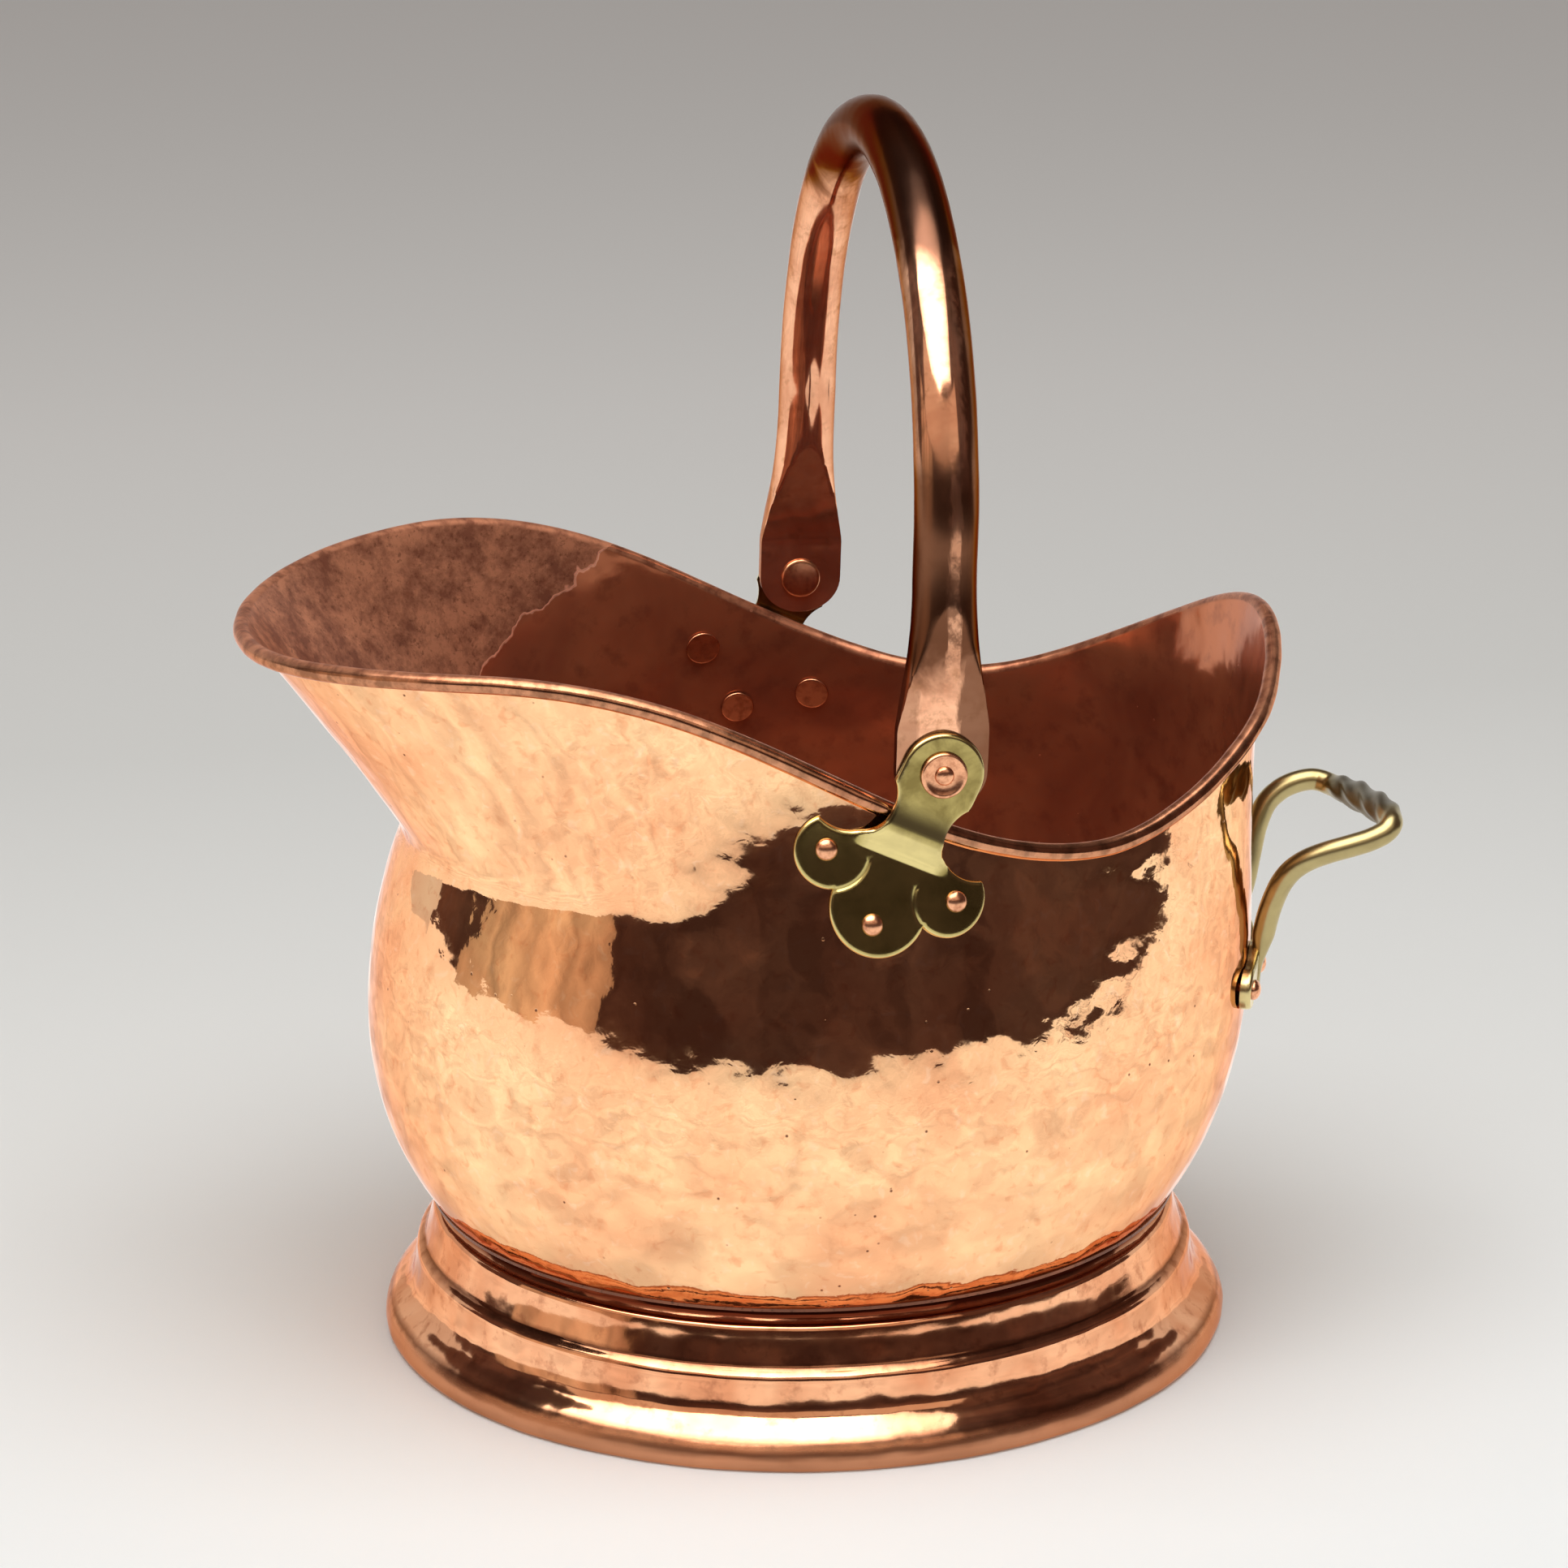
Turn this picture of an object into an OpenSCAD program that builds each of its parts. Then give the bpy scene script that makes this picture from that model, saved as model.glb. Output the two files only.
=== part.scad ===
// Helmet-shaped coal scuttle in beaten copper, with a swinging bail,
// brass brackets and a brass back handle.
// Millimetres. +X is the pouring side, +Y the scuttle's left, +Z up.
// The origin is on the floor, under the middle of the round foot.

/* [Sheet] */
// Thickness of the copper sheet of body, spout, bottom and foot
sheet = 1.0; // [0.8:0.1:1.4]
// Radius of the rolled bead round the rim
rim_bead_r = 2.85; // [2.4:0.05:3.5]
// Gap between a wire and the sheet rolled round it
wire_gap = 0.12; // [0.1:0.02:0.3]

/* [Body] */
// Height of the body's bottom edge above the floor
base_z = 49.5; // [46:0.5:56]
// Radius of the body's round bottom edge
base_r = 127; // [120:1:134]
// Height of the widest part of front and sides
belly_z = 112; // [100:1:120]
// Widest radius at the front
belly_front_r = 146.7; // [140:0.1:155]
// Widest radius at the sides
belly_side_r = 141; // [136:0.5:146]
// Height at which the back reaches its full radius
back_full_z = 150; // [140:1:160]
// Height up to which the back stays at that radius
back_straight_z = 198; // [190:1:204]
// Radius of the back
back_r = 152; // [146:1:158]
// Radius of the back's rim
back_rim_r = 157; // [152:1:162]
// Height of the sides' narrow waist
waist_z = 210; // [204:1:214]
// Radius of the sides' narrow waist
waist_r = 123.6; // [121:0.2:126]
// Radius of the sides at cheek height
cheek_r = 127.5; // [125:0.5:131]

/* [Spout] */
// Height of the crease under the spout
neck_z = 179; // [172:1:186]
// Radius at the crease under the spout
neck_r = 132.4; // [126:0.2:138]
// Radius of the spout's lip
lip_r = 182; // [170:1:190]
// How narrow the spout is in plan
spout_focus = 3; // [2.5:0.1:4]
// Distance forward of the middle at which the spout's seam meets the rim
seam_top_x = 48; // [40:1:60]

/* [Rim] */
// Height of the rim at the lip
lip_z = 249.5; // [240:0.5:258]
// Height of the rim at the cheeks, its highest part
cheek_z = 256; // [250:0.5:264]
// Height of the rim where the sides dip
dip_z = 191.5; // [188:0.5:197]
// Height of the rim at the back
back_rim_z = 239; // [230:1:246]

/* [Foot] */
// Width of the ring's flange under the bottom plate
foot_flange = 6; // [4:1:12]
// Distance of the foot's waist inside the body's bottom edge
foot_waist_in = 4.5; // [3:0.5:6]
// Height of the upper band's top edge
band_top_z = 42.5; // [41:0.5:43.5]
// Height of the groove between the two bands
groove_z = 30; // [28:0.5:32]
// Depth of that groove
groove_depth = 2.2; // [1:0.2:3]
// Radius of the middle of the bead that the scuttle stands on
foot_bead_at = 141.2; // [138:0.2:146]
// Radius of the foot's bead
foot_bead_r = 3.2; // [2.6:0.1:3.8]
// How far the foot's bead is worn flat
foot_wear = 0.3; // [0.2:0.05:0.6]

/* [Bottom plate] */
// How far the bottom plate stands out under the body's edge
plate_lip = 0.6; // [0.3:0.1:1]
// Height of the plate's flange inside the body
plate_flange = 7; // [5:0.5:10]
// Gap between the plate's flange and the body, filled with solder
solder_gap = 0.35; // [0.3:0.05:0.6]

/* [Bail] */
// Distance of the pivots behind the middle
pivot_back = 23; // [18:0.5:28]
// Height of the pivots above the middle of the rim's bead beside them
pivot_rise = 20.47; // [18:0.01:24]
// Diameter of the bail's copper tube
bail_d = 20; // [17:0.5:22]
// Wall of the bail's tube
bail_wall = 1.5; // [1:0.1:2]
// Height of the middle of the tube above the pivots, at the top
bail_rise = 180; // [165:1:195]
// Height above the pivots at which the legs turn into the arch
leg_rise = 70; // [60:1:80]
// How far the legs lean inwards
leg_lean = 5; // [2:0.5:8]
// How far the bail leans back as it stands
bail_lean = 2.2; // [0:0.2:4]
// Width of the flattened ends
paddle_w = 29; // [27:0.5:31]
// Thickness of the flattened ends
paddle_t = 4.5; // [3.6:0.1:5]
// How far the flattened ends reach below the pivots
paddle_tail = 12.5; // [11:0.5:13.5]
// How far the flat part reaches above the pivots
paddle_flat = 17; // [16:0.5:20]
// Height above the pivots at which the tube is fully round
tube_from = 44; // [40:1:50]

/* [Brackets] */
// Thickness of the brass brackets
bracket_t = 2.4; // [2:0.1:3]
// Radius of the bracket's eye
eye_r = 13.1; // [12.5:0.1:14.5]
// How far a bracket leans back, to stand square to the rim
bracket_lean = 25.8; // [20:0.2:30]
// Gap between the rim's bead and the bracket that passes outside it
rim_gap = 0.5; // [0.3:0.1:1]
// How much wider than the body's side the lobes are curved
lobe_open = 5; // [4:0.5:8]
// Gap between the lobes and the body's side, filled with tinning
lobe_gap = 0.2; // [0.1:0.05:0.4]
// Distance of the side lobes' rivets from the bracket's centre line
lobe_u = 22.2; // [20:0.2:24]
// Distance of the side lobes' rivets below the rim's bead
lobe_drop = 18.4; // [17:0.1:20]
// Radius of the side lobes
lobe_r = 11.8; // [11:0.2:13]
// Distance of the lowest rivet below the rim's bead
toe_drop = 34.3; // [33:0.1:36]
// Radius of the lowest lobe
toe_r = 15.5; // [14:0.2:17]
// Half the width of the bracket's neck
neck_half = 9.5; // [8:0.2:10.5]
// Length of the slope on which a bracket steps out over the rim
step_run = 10; // [8:0.5:12]

/* [Rivets] */
// Diameter of the small rivets' shanks
shank_d = 4; // [3:0.2:4.6]
// Diameter of the small rivets' domed heads
dome_d = 7; // [6:0.2:8]
// Height of the domed heads
dome_h = 2.2; // [1.6:0.1:2.8]
// Diameter of the small rivets' flat heads, inside the body
flat_d = 12; // [10:0.5:13]
// Thickness of the flat heads
flat_t = 0.9; // [0.6:0.1:1.4]
// Clearance round a rivet in its hole
rivet_gap = 0.1; // [0.05:0.05:0.2]
// Gap between a flat head's face and the curved sheet at its middle
head_gap = 0.4; // [0.3:0.05:0.6]

/* [Pivots] */
// Diameter of the pivot rivets' shanks
pivot_d = 8; // [7:0.2:9]
// Diameter of the pivot rivets' heads inside the bail
pivot_head_d = 14; // [12:0.5:16]
// Thickness of those heads
pivot_head_t = 1.2; // [1:0.1:2]
// Clearance of the pivot rivets in the bail's bores
pivot_gap = 0.2; // [0.15:0.05:0.3]
// Side clearance between the bail's ends, the brackets and the heads
side_gap = 0.3; // [0.2:0.05:0.5]
// Diameter of the dished washers outside the brackets
washer_d = 14.8; // [13:0.2:17]
// Thickness of the washers
washer_t = 1.8; // [1.4:0.1:2.4]
// Height of the shank's hammered end above the washer
pip_h = 1.0; // [0.6:0.1:1.6]
// Radius at which the end of the shank passes through the washer
pip_r = 2.6; // [2:0.1:3.2]

/* [Back handle] */
// How far round from the back, towards the left, the handle is set
handle_turn = 8.5; // [0:0.5:10]
// Distance between the middles of the two pads
pad_spread = 54; // [50:1:60]
// Height of the pads' rivets
pad_z = 125; // [120:1:130]
// Distance of a pad's two rivets from its middle
pad_wing = 14; // [12:0.5:15]
// Radius of the pads' lobes
pad_lobe_r = 7; // [6:0.1:8]
// Thickness of the pads
pad_t = 3.6; // [3:0.1:4.2]
// Diameter of the handle's brass rod
rod_d = 7.6; // [6.6:0.2:8.6]
// How far the middle of the grip stands out from the back
grip_reach = 40; // [36:1:46]
// Height of the middle of the grip above the pads' rivets
grip_rise = 52; // [46:1:58]
// Side of the twisted square grip
grip_side = 8.4; // [7:0.2:9]
// Whole turns of twist in the grip
grip_turns = 0.8; // [0.5:0.1:2]

/* [Hidden] */
$fn = 48;

columns = 72;       // columns round the body's wall
rows = 15;          // points up the wall in each column
roll_steps = 9;     // steps round the rolled rim
roll_turn = 305;    // degrees that the sheet is rolled round its wire
cheek_at = 42;      // direction of the cheeks, in degrees from the front
dip_at = 126;       // direction of the sides' dip
back_from = 112;    // direction at which the sides start to swell into the back
back_full = 160;    // direction at which the back is fully swollen
crease_soft = 4;    // height over which the neck's crease is softened

far = 400;          // further than any part of the scuttle reaches

rim_wire_hole = rim_bead_r - sheet;

// Wall keys: height, radius, slope below, slope above.
front_keys = [[base_z, base_r, 0.75, 0.75], [belly_z, belly_front_r, 0, 0],
              [neck_z, neck_r, -0.45, 0.6], [lip_z, lip_r, 0.75, 0.75]];
side_keys = [[base_z, base_r, 0.55, 0.55], [belly_z, belly_side_r, 0, 0],
             [waist_z, waist_r, -0.04, -0.04], [cheek_z, cheek_r, 0.05, 0.05]];
back_keys = [[base_z, base_r, 0.7, 0.7], [back_full_z, back_r, 0, 0],
             [back_straight_z, back_r, 0.02, 0.02], [back_rim_z, back_rim_r, 0.1, 0.1]];

function ease(t) = let (c = min(1, max(0, t))) c * c * (3 - 2 * c);
function mix(a, b, t) = a + (b - a) * t;
function unit(v) = v / norm(v);
function span_of(k, z, i = 0) = i >= len(k) - 2 || z < k[i + 1][0] ? i : span_of(k, z, i + 1);
function key_radius(k, z) =
    let (i = span_of(k, z), a = k[i], b = k[i + 1], l = b[0] - a[0], t = (z - a[0]) / l,
         u = t * t * (3 - 2 * t))
    mix(a[1], b[1], u) + l * (t * (1 - t) * (1 - t) * a[3] + t * t * (t - 1) * b[2]);
function front_radius(z) =
    z < base_z + crease_soft ? key_radius(front_keys, z)
    : (key_radius(front_keys, z - crease_soft) + 2 * key_radius(front_keys, z)
       + key_radius(front_keys, z + crease_soft)) / 4;

// Outer radius of the wall in direction a (degrees from the front) at height z.
function turn_from_front(a) = abs(((a + 180) % 360 + 360) % 360 - 180);
function front_share(a) = a < 90 ? pow(cos(a), spout_focus) : 0;
function back_share(a) = ease((a - back_from) / (back_full - back_from));
function wall_radius(a, z) =
    let (t = turn_from_front(a), s = key_radius(side_keys, z))
    s + (front_radius(z) - s) * front_share(t) + (key_radius(back_keys, z) - s) * back_share(t);
function wall_point(a, z) = let (r = wall_radius(a, z)) [r * cos(a), r * sin(a), z];
function wall_normal(a, z) =
    unit(cross(wall_point(a + 0.5, z) - wall_point(a - 0.5, z),
               wall_point(a, z + 0.5) - wall_point(a, z - 0.5)));

// The rim: lip, cheeks, dipping sides and back.
function rim_height(a) =
    let (t = turn_from_front(a))
    t < cheek_at ? mix(lip_z, cheek_z, ease(t / cheek_at))
    : t < dip_at ? mix(cheek_z, dip_z, ease((t - cheek_at) / (dip_at - cheek_at)))
    : mix(dip_z, back_rim_z, ease((t - dip_at) / (180 - dip_at)));
function rim_point(a) = wall_point(a, rim_height(a));
function rim_normal(a) = wall_normal(a, rim_height(a));
function rim_along(a) = unit(rim_point(a + 0.5) - rim_point(a - 0.5));
function rim_rise(a) = cross(rim_normal(a), rim_along(a));
function bead_middle(a) = rim_point(a) + rim_normal(a) * rim_wire_hole;

// Closed ring of equal sections, and a tube closed by its two end sections.
function ring_faces(n, m) =
    [for (i = [0:n - 1], j = [0:m - 1])
        let (a = i * m + j, b = i * m + (j + 1) % m,
             c = ((i + 1) % n) * m + (j + 1) % m, d = ((i + 1) % n) * m + j)
        each [[a, b, c], [a, c, d]]];
function tube_faces(n, m) =
    [for (i = [0:n - 2], j = [0:m - 1])
        let (a = i * m + j, b = i * m + (j + 1) % m, c = (i + 1) * m + (j + 1) % m,
             d = (i + 1) * m + j)
        each [[a, c, b], [a, d, c]]];
module sweep(sections) {
    n = len(sections);
    m = len(sections[0]);
    polyhedron(points = [for (s = sections) each s],
               faces = [each tube_faces(n, m), [for (j = [0:m - 1]) j],
                        [for (j = [m - 1:-1:0]) (n - 1) * m + j]]);
}
module loop(sections) {
    polyhedron(points = [for (s = sections) each s],
               faces = ring_faces(len(sections), len(sections[0])));
}

// One column of the wall: up the outside, round the wire, back, down the inside.
function roll_point(a, r, turn) =
    bead_middle(a) + rim_normal(a) * r * cos(turn) + rim_rise(a) * r * sin(turn);
function wall_column(a) =
    let (top = rim_height(a),
         z = [for (i = [0:rows - 1]) mix(base_z, top, i / (rows - 1))],
         turns = [for (i = [1:roll_steps]) 180 - roll_turn * i / roll_steps])
    [for (i = [0:rows - 1]) wall_point(a, z[i]),
     for (t = turns) roll_point(a, rim_wire_hole, t),
     for (i = [roll_steps - 1:-1:0]) roll_point(a, rim_bead_r, turns[i]),
     for (i = [rows - 1:-1:0])
        let (p = wall_point(a, z[i]), n = wall_normal(a, z[i]))
        i == 0 ? p - unit([n[0], n[1], 0]) * sheet : p - n * sheet];
module wall() {
    loop([for (i = [0:columns - 1]) wall_column(i * 360 / columns)]);
}

// The spout's slanting seam, and everything above it (up 1) or below it (up 0).
seam_top_z = rim_height(turn_from_front(acos(seam_top_x / (waist_r + 2))));
seam_slope = atan2(seam_top_z - neck_z, neck_r - seam_top_x);
module beyond_seam(up) {
    translate([seam_top_x, 0, seam_top_z])
        rotate([0, seam_slope, 0])
            translate([-far, -far, (up - 1) * 2 * far])
                cube(2 * far);
}

// Puts its child on the wall in direction a at height z, with +Z pointing outwards.
module on_wall(a, z) {
    n = wall_normal(a, z);
    translate(wall_point(a, z))
        rotate([0, acos(n[2]), atan2(n[1], n[0])])
            children();
}

// The pivots stand over the rim's bead.
function beside(x, a = 90) = abs(wall_radius(a, rim_height(a)) * cos(a) - x) < 0.01 || a > 120 ? a
    : beside(x, a + (wall_radius(a, rim_height(a)) * cos(a) - x) * 0.45);
pivot_z = rim_height(beside(-pivot_back)) + pivot_rise;
rim_v = pivot_rise * cos(bracket_lean);
lobe_v = rim_v + lobe_drop;
toe_v = rim_v + toe_drop;

// Bracket places: u runs forward along the rim and v up, square to it, from the pivot.
function bracket_x(u, v) = -pivot_back + u * cos(bracket_lean) - v * sin(bracket_lean);
function bracket_z(u, v) = pivot_z + u * sin(bracket_lean) + v * cos(bracket_lean);
function side_angle(x, z) = acos(x / key_radius(side_keys, z));
bracket_rivet_places = [[lobe_u, -lobe_v], [-lobe_u, -lobe_v], [0, -toe_v]];
module at_bracket_rivets() {
    for (p = bracket_rivet_places)
        on_wall(side_angle(bracket_x(p[0], p[1]), bracket_z(p[0], p[1])),
                bracket_z(p[0], p[1]))
            children();
}

// Pads of the back handle stand symmetrically about the handle's own direction.
pad_turn = asin(pad_spread / 2 / back_r);
function pad_direction(side) = 180 - handle_turn - side * pad_turn;
pad_rivet_places = [-pad_wing, pad_wing];
function pad_rivet_turn(side, s) = pad_direction(side) + asin(s / back_r);
module at_pad_rivets(side) {
    for (s = pad_rivet_places)
        on_wall(pad_rivet_turn(side, s), pad_z)
            children();
}

module rivet_hole() {
    translate([0, 0, -8])
        cylinder(d = shank_d + 2 * rivet_gap, h = 20);
}
// Flat head inside the sheet, shank through the fitting, dome outside.
module rivet(fitting) {
    ball_r = (dome_d * dome_d / 4 + dome_h * dome_h) / (2 * dome_h);
    top = fitting + lobe_gap + 0.15;
    head = sheet + head_gap;
    translate([0, 0, -head - flat_t])
        cylinder(d = flat_d, h = flat_t);
    translate([0, 0, -head - flat_t / 2])
        cylinder(d = shank_d, h = top + head + flat_t / 2 + 0.2);
    translate([0, 0, top])
        intersection() {
            translate([0, 0, dome_h - ball_r])
                sphere(ball_r);
            cylinder(d = dome_d, h = dome_h);
        }
}

module rivet_holes() {
    for (side = [0, 1])
        mirror([0, side, 0])
            at_bracket_rivets()
                rivet_hole();
    for (side = [-1, 1])
        at_pad_rivets(side)
            rivet_hole();
}

module body_sheet() {
    color("#c47a55")
        difference() {
            wall();
            beyond_seam(1);
            rivet_holes();
        }
}

module spout_sheet() {
    color("#cf8a63")
        difference() {
            wall();
            beyond_seam(0);
        }
}

module rim_wire() {
    wire_r = (rim_wire_hole - wire_gap) * cos(180 / 8) * 0.99;
    color("#5a5350")
        loop([for (i = [0:columns - 1])
            let (a = i * 360 / columns)
            [for (j = [0:7]) roll_point(a, wire_r, j * 45)]]);
}

// Outline of a bent sheet: a line of points and the same line set back by the thickness.
function square_to(v) = [v[1], -v[0]] / norm(v);
function set_back(line, t) =
    let (last = len(line) - 1)
    [for (i = [0:last])
        let (before = square_to(line[max(1, i)] - line[max(1, i) - 1]),
             after = square_to(line[min(last, i + 1)] - line[min(last, i + 1) - 1]),
             m = before + after)
        line[i] + m * 2 * t / (m * m)];
function bent_sheet(line, t) =
    let (back = set_back(line, t))
    [each line, for (i = [len(line) - 1:-1:0]) back[i]];

plate_z = base_z - sheet;
foot_waist_r = base_r - foot_waist_in;
bead_z = foot_bead_r - foot_wear;
bead_roll = [for (t = [65:-25:-210]) foot_bead_r * [cos(t), sin(t)] + [foot_bead_at, bead_z]];
foot_line = [
    [foot_waist_r - foot_flange, plate_z],
    [foot_waist_r - 1, plate_z],
    [foot_waist_r, plate_z - 1.2],
    [foot_waist_r + 0.5, plate_z - 3],
    [foot_waist_r + 2, mix(plate_z - 3, band_top_z, 0.7)],
    [base_r - 0.5, band_top_z],
    [base_r + 0.6, mix(band_top_z, groove_z, 0.4)],
    [base_r + 2.2, groove_z + 2.4],
    [base_r + 5.4 - groove_depth, groove_z],
    [base_r + 5.6, groove_z - 2],
    [base_r + 6.4, groove_z - 4.5],
    [base_r + 7.6, groove_z - 9],
    [mix(base_r + 8.6, foot_bead_at, 0.1), groove_z - 12],
    [foot_bead_at - 3.2, bead_z + 12],
    [foot_bead_at - 0.9, bead_z + 9.2],
    [foot_bead_at + 0.6, bead_z + 7],
    [foot_bead_at + 1.1, bead_z + 5.2],
    [foot_bead_at + 1, bead_z + 4]
];

module foot_ring() {
    color("#b96f4c")
        difference() {
            rotate_extrude($fn = 96)
                polygon(bent_sheet([each foot_line, each bead_roll], sheet));
            translate([0, 0, -10])
                cylinder(r = foot_bead_at + 20, h = 10);
        }
}

module foot_wire() {
    color("#5a5350")
        translate([0, 0, bead_z])
            rotate_extrude($fn = 96)
                translate([foot_bead_at, 0])
                    circle(r = (foot_bead_r - sheet) * cos(12.5) - wire_gap, $fn = 24);
}

module bottom_plate() {
    // The flange leans outwards with the wall that it stands inside.
    inner = [for (z = [base_z, base_z + plate_flange])
        key_radius(side_keys, z) * cos(180 / columns) - sheet - solder_gap];
    color("#a5644a")
        rotate_extrude($fn = 96)
            polygon([[0, plate_z], [base_r + plate_lip, plate_z], [base_r + plate_lip, base_z],
                     [inner[0], base_z], [inner[1], base_z + plate_flange],
                     [inner[1] - sheet, base_z + plate_flange], [inner[0] - sheet, base_z],
                     [0, base_z]]);
}

// Stack at a pivot, from the inside out, as distances from the middle plane.
bead_out = key_radius(side_keys, rim_height(100)) - sheet + 2 * rim_bead_r;
eye_in = bead_out + rim_gap;
eye_out = eye_in + bracket_t;
paddle_out = eye_in - side_gap;
paddle_mid = paddle_out - paddle_t / 2;
head_out = paddle_out - paddle_t - side_gap;

// The bail: its middle line from the left pivot over the top to the right one.
arch_half = paddle_mid - leg_lean;
arch_rise = bail_rise - leg_rise;
leg_steps = concat([-paddle_tail, -10, -6, 0, 8, paddle_flat],
                   [for (i = [1:6]) mix(paddle_flat, tube_from, i / 6)],
                   [mix(tube_from, leg_rise, 0.5)]);
arch_steps = 22;
function leg_point(s) = [arch_half + leg_lean * (1 - ease((s - paddle_flat) / (leg_rise - paddle_flat))), s];
function paddle_half(s) =
    s < 0 ? sqrt(paddle_w * paddle_w / 4 - s * s)
    : s < paddle_flat ? paddle_w / 2
    : mix(paddle_w, bail_d, ease((s - paddle_flat) / (tube_from - paddle_flat) * 1.25)) / 2;
function paddle_thick(s) =
    mix(paddle_t, bail_d, ease((s - paddle_flat) / (tube_from - paddle_flat))) / 2;
function squareness(s) = mix(0.3, 1, ease((s - paddle_flat + 2) / (tube_from - paddle_flat)));
function signed_pow(c, e) = sign(c) * pow(abs(c), e);
function bail_section(p, dir, half_x, half_y, e, inset = 0, sides = 20) =
    [for (j = [0:sides - 1])
        let (t = j * 360 / sides, out = [0, dir[1], -dir[0]],
             x = (half_x - inset) * signed_pow(cos(t), e),
             y = (half_y - inset) * signed_pow(sin(t), e))
        [0, p[0], p[1]] + [x, 0, 0] + out * y];
// Each station: place in the pivot's vertical plane, direction, half width, half thickness, shape.
bail_left = [for (s = leg_steps)
    let (d = unit(leg_point(s + 0.1) - leg_point(s - 0.1)))
    [leg_point(s), s < tube_from ? [0, 1] : d, paddle_half(s), paddle_thick(s), squareness(s)]];
bail_arch = [for (i = [0:arch_steps])
    let (t = i * 180 / arch_steps)
    [[arch_half * cos(t), leg_rise + arch_rise * sin(t)],
     unit([-arch_half * sin(t), arch_rise * cos(t)]), bail_d / 2, bail_d / 2, 1]];
bail_right = [for (i = [len(bail_left) - 1:-1:0])
    let (b = bail_left[i])
    [[-b[0][0], b[0][1]], [b[1][0], -b[1][1]], b[2], b[3], b[4]]];
bail_stations = concat(bail_left, bail_arch, bail_right);
hollow_stations = [for (b = bail_stations) if (b[0][1] >= tube_from) b];

module bail_handle() {
    color("#b5714f")
        translate([-pivot_back, 0, pivot_z])
            rotate([0, -bail_lean, 0])
            difference() {
                sweep([for (b = bail_stations) bail_section(b[0], b[1], b[2], b[3], b[4])]);
                sweep([for (b = hollow_stations)
                    bail_section(b[0], b[1], b[2], b[3], b[4], bail_wall)]);
                for (side = [-1, 1])
                    translate([0, side * paddle_mid, 0])
                        rotate([90, 0, 0])
                            cylinder(d = pivot_d + 2 * pivot_gap, h = bail_d, center = true);
            }
}

// Flat outline of a bracket: eye, waisted neck, two horned lobes and a toe.
module bracket_outline() {
    scoop_r = 13;
    scoop_v = -lobe_v + 20.3;
    difference() {
        union() {
            circle(eye_r);
            translate([-eye_r, -lobe_v])
                square([2 * eye_r, lobe_v]);
            translate([-lobe_u + 2, -lobe_v - 6])
                square([2 * lobe_u - 4, 20]);
            for (side = [-1, 1])
                translate([side * (lobe_u - 2), -lobe_v])
                    circle(lobe_r);
            translate([0, -toe_v + 5.7])
                circle(toe_r);
        }
        for (side = [-1, 1])
            translate([side * (neck_half + scoop_r), scoop_v])
                circle(scoop_r);
        difference() {
            translate([-2 * eye_r, scoop_v])
                square([4 * eye_r, eye_r - scoop_v]);
            circle(eye_r);
            translate([-eye_r, scoop_v])
                square([2 * eye_r, -scoop_v]);
        }
    }
}
// Turns a drawing in u and v into a solid standing in the pivot's vertical plane.
module in_bracket_plane(from, to) {
    translate([-pivot_back, to, pivot_z])
        rotate([90, 0, 0])
            rotate([0, 0, bracket_lean])
                linear_extrude(to - from)
                    children();
}
// Shell that lies on the sides of the body, from height z1 to z2.
module side_shell(z1, z2, t) {
    steps = 6;
    inner = [for (i = [0:steps])
        let (z = mix(z1, z2, i / steps)) [key_radius(side_keys, z) + lobe_gap + lobe_open, z]];
    translate([0, -lobe_open, 0])
        rotate_extrude($fn = 96)
            polygon([each inner, for (i = [steps:-1:0]) inner[i] + [t, 0]]);
}
step_top_v = -rim_v - rim_bead_r;
step_low_v = step_top_v - step_run;
module bracket() {
    low_z = bracket_z(0, step_low_v);
    base_in = key_radius(side_keys, low_z) + lobe_gap;
    difference() {
        union() {
            // Lobes, hammered to lie on the body's side.
            intersection() {
                in_bracket_plane(waist_r - 20, eye_out + 10)
                    intersection() {
                        bracket_outline();
                        translate([-far, step_low_v - far])
                            square([2 * far, far]);
                    }
                side_shell(bracket_z(-lobe_u, -toe_v - toe_r), waist_z + 12, bracket_t);
            }
            // Neck that steps outwards over the rim, and the eye.
            intersection() {
                in_bracket_plane(base_in - 5, eye_out)
                    intersection() {
                        bracket_outline();
                        translate([-far, step_low_v - 1.5])
                            square([2 * far, far]);
                    }
                translate([-pivot_back, 0, pivot_z])
                    rotate([0, -bracket_lean, 0])
                        rotate([90, 0, 90])
                            translate([0, 0, -far])
                                linear_extrude(2 * far)
                                    polygon([[base_in, step_low_v - 4],
                                             [base_in, step_low_v],
                                             [eye_in, step_top_v],
                                             [eye_in, eye_r + 1],
                                             [eye_out, eye_r + 1],
                                             [eye_out, step_top_v + 0.5],
                                             [base_in + bracket_t, step_low_v + 0.5],
                                             [base_in + bracket_t, step_low_v - 4]]);
            }
        }
        at_bracket_rivets()
            rivet_hole();
        translate([-pivot_back, eye_in - 1, pivot_z])
            rotate([-90, 0, 0])
                cylinder(d = pivot_d + rivet_gap, h = bracket_t + 2);
    }
}
module bracket_left() {
    color("#b5a25a")
        bracket();
}
module bracket_right() {
    color("#b5a25a")
        mirror([0, 1, 0])
            bracket();
}

module bracket_rivets() {
    color("#cc8158")
        at_bracket_rivets()
            rivet(bracket_t);
}
module bracket_rivets_left() {
    bracket_rivets();
}
module bracket_rivets_right() {
    mirror([0, 1, 0])
        bracket_rivets();
}

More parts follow.
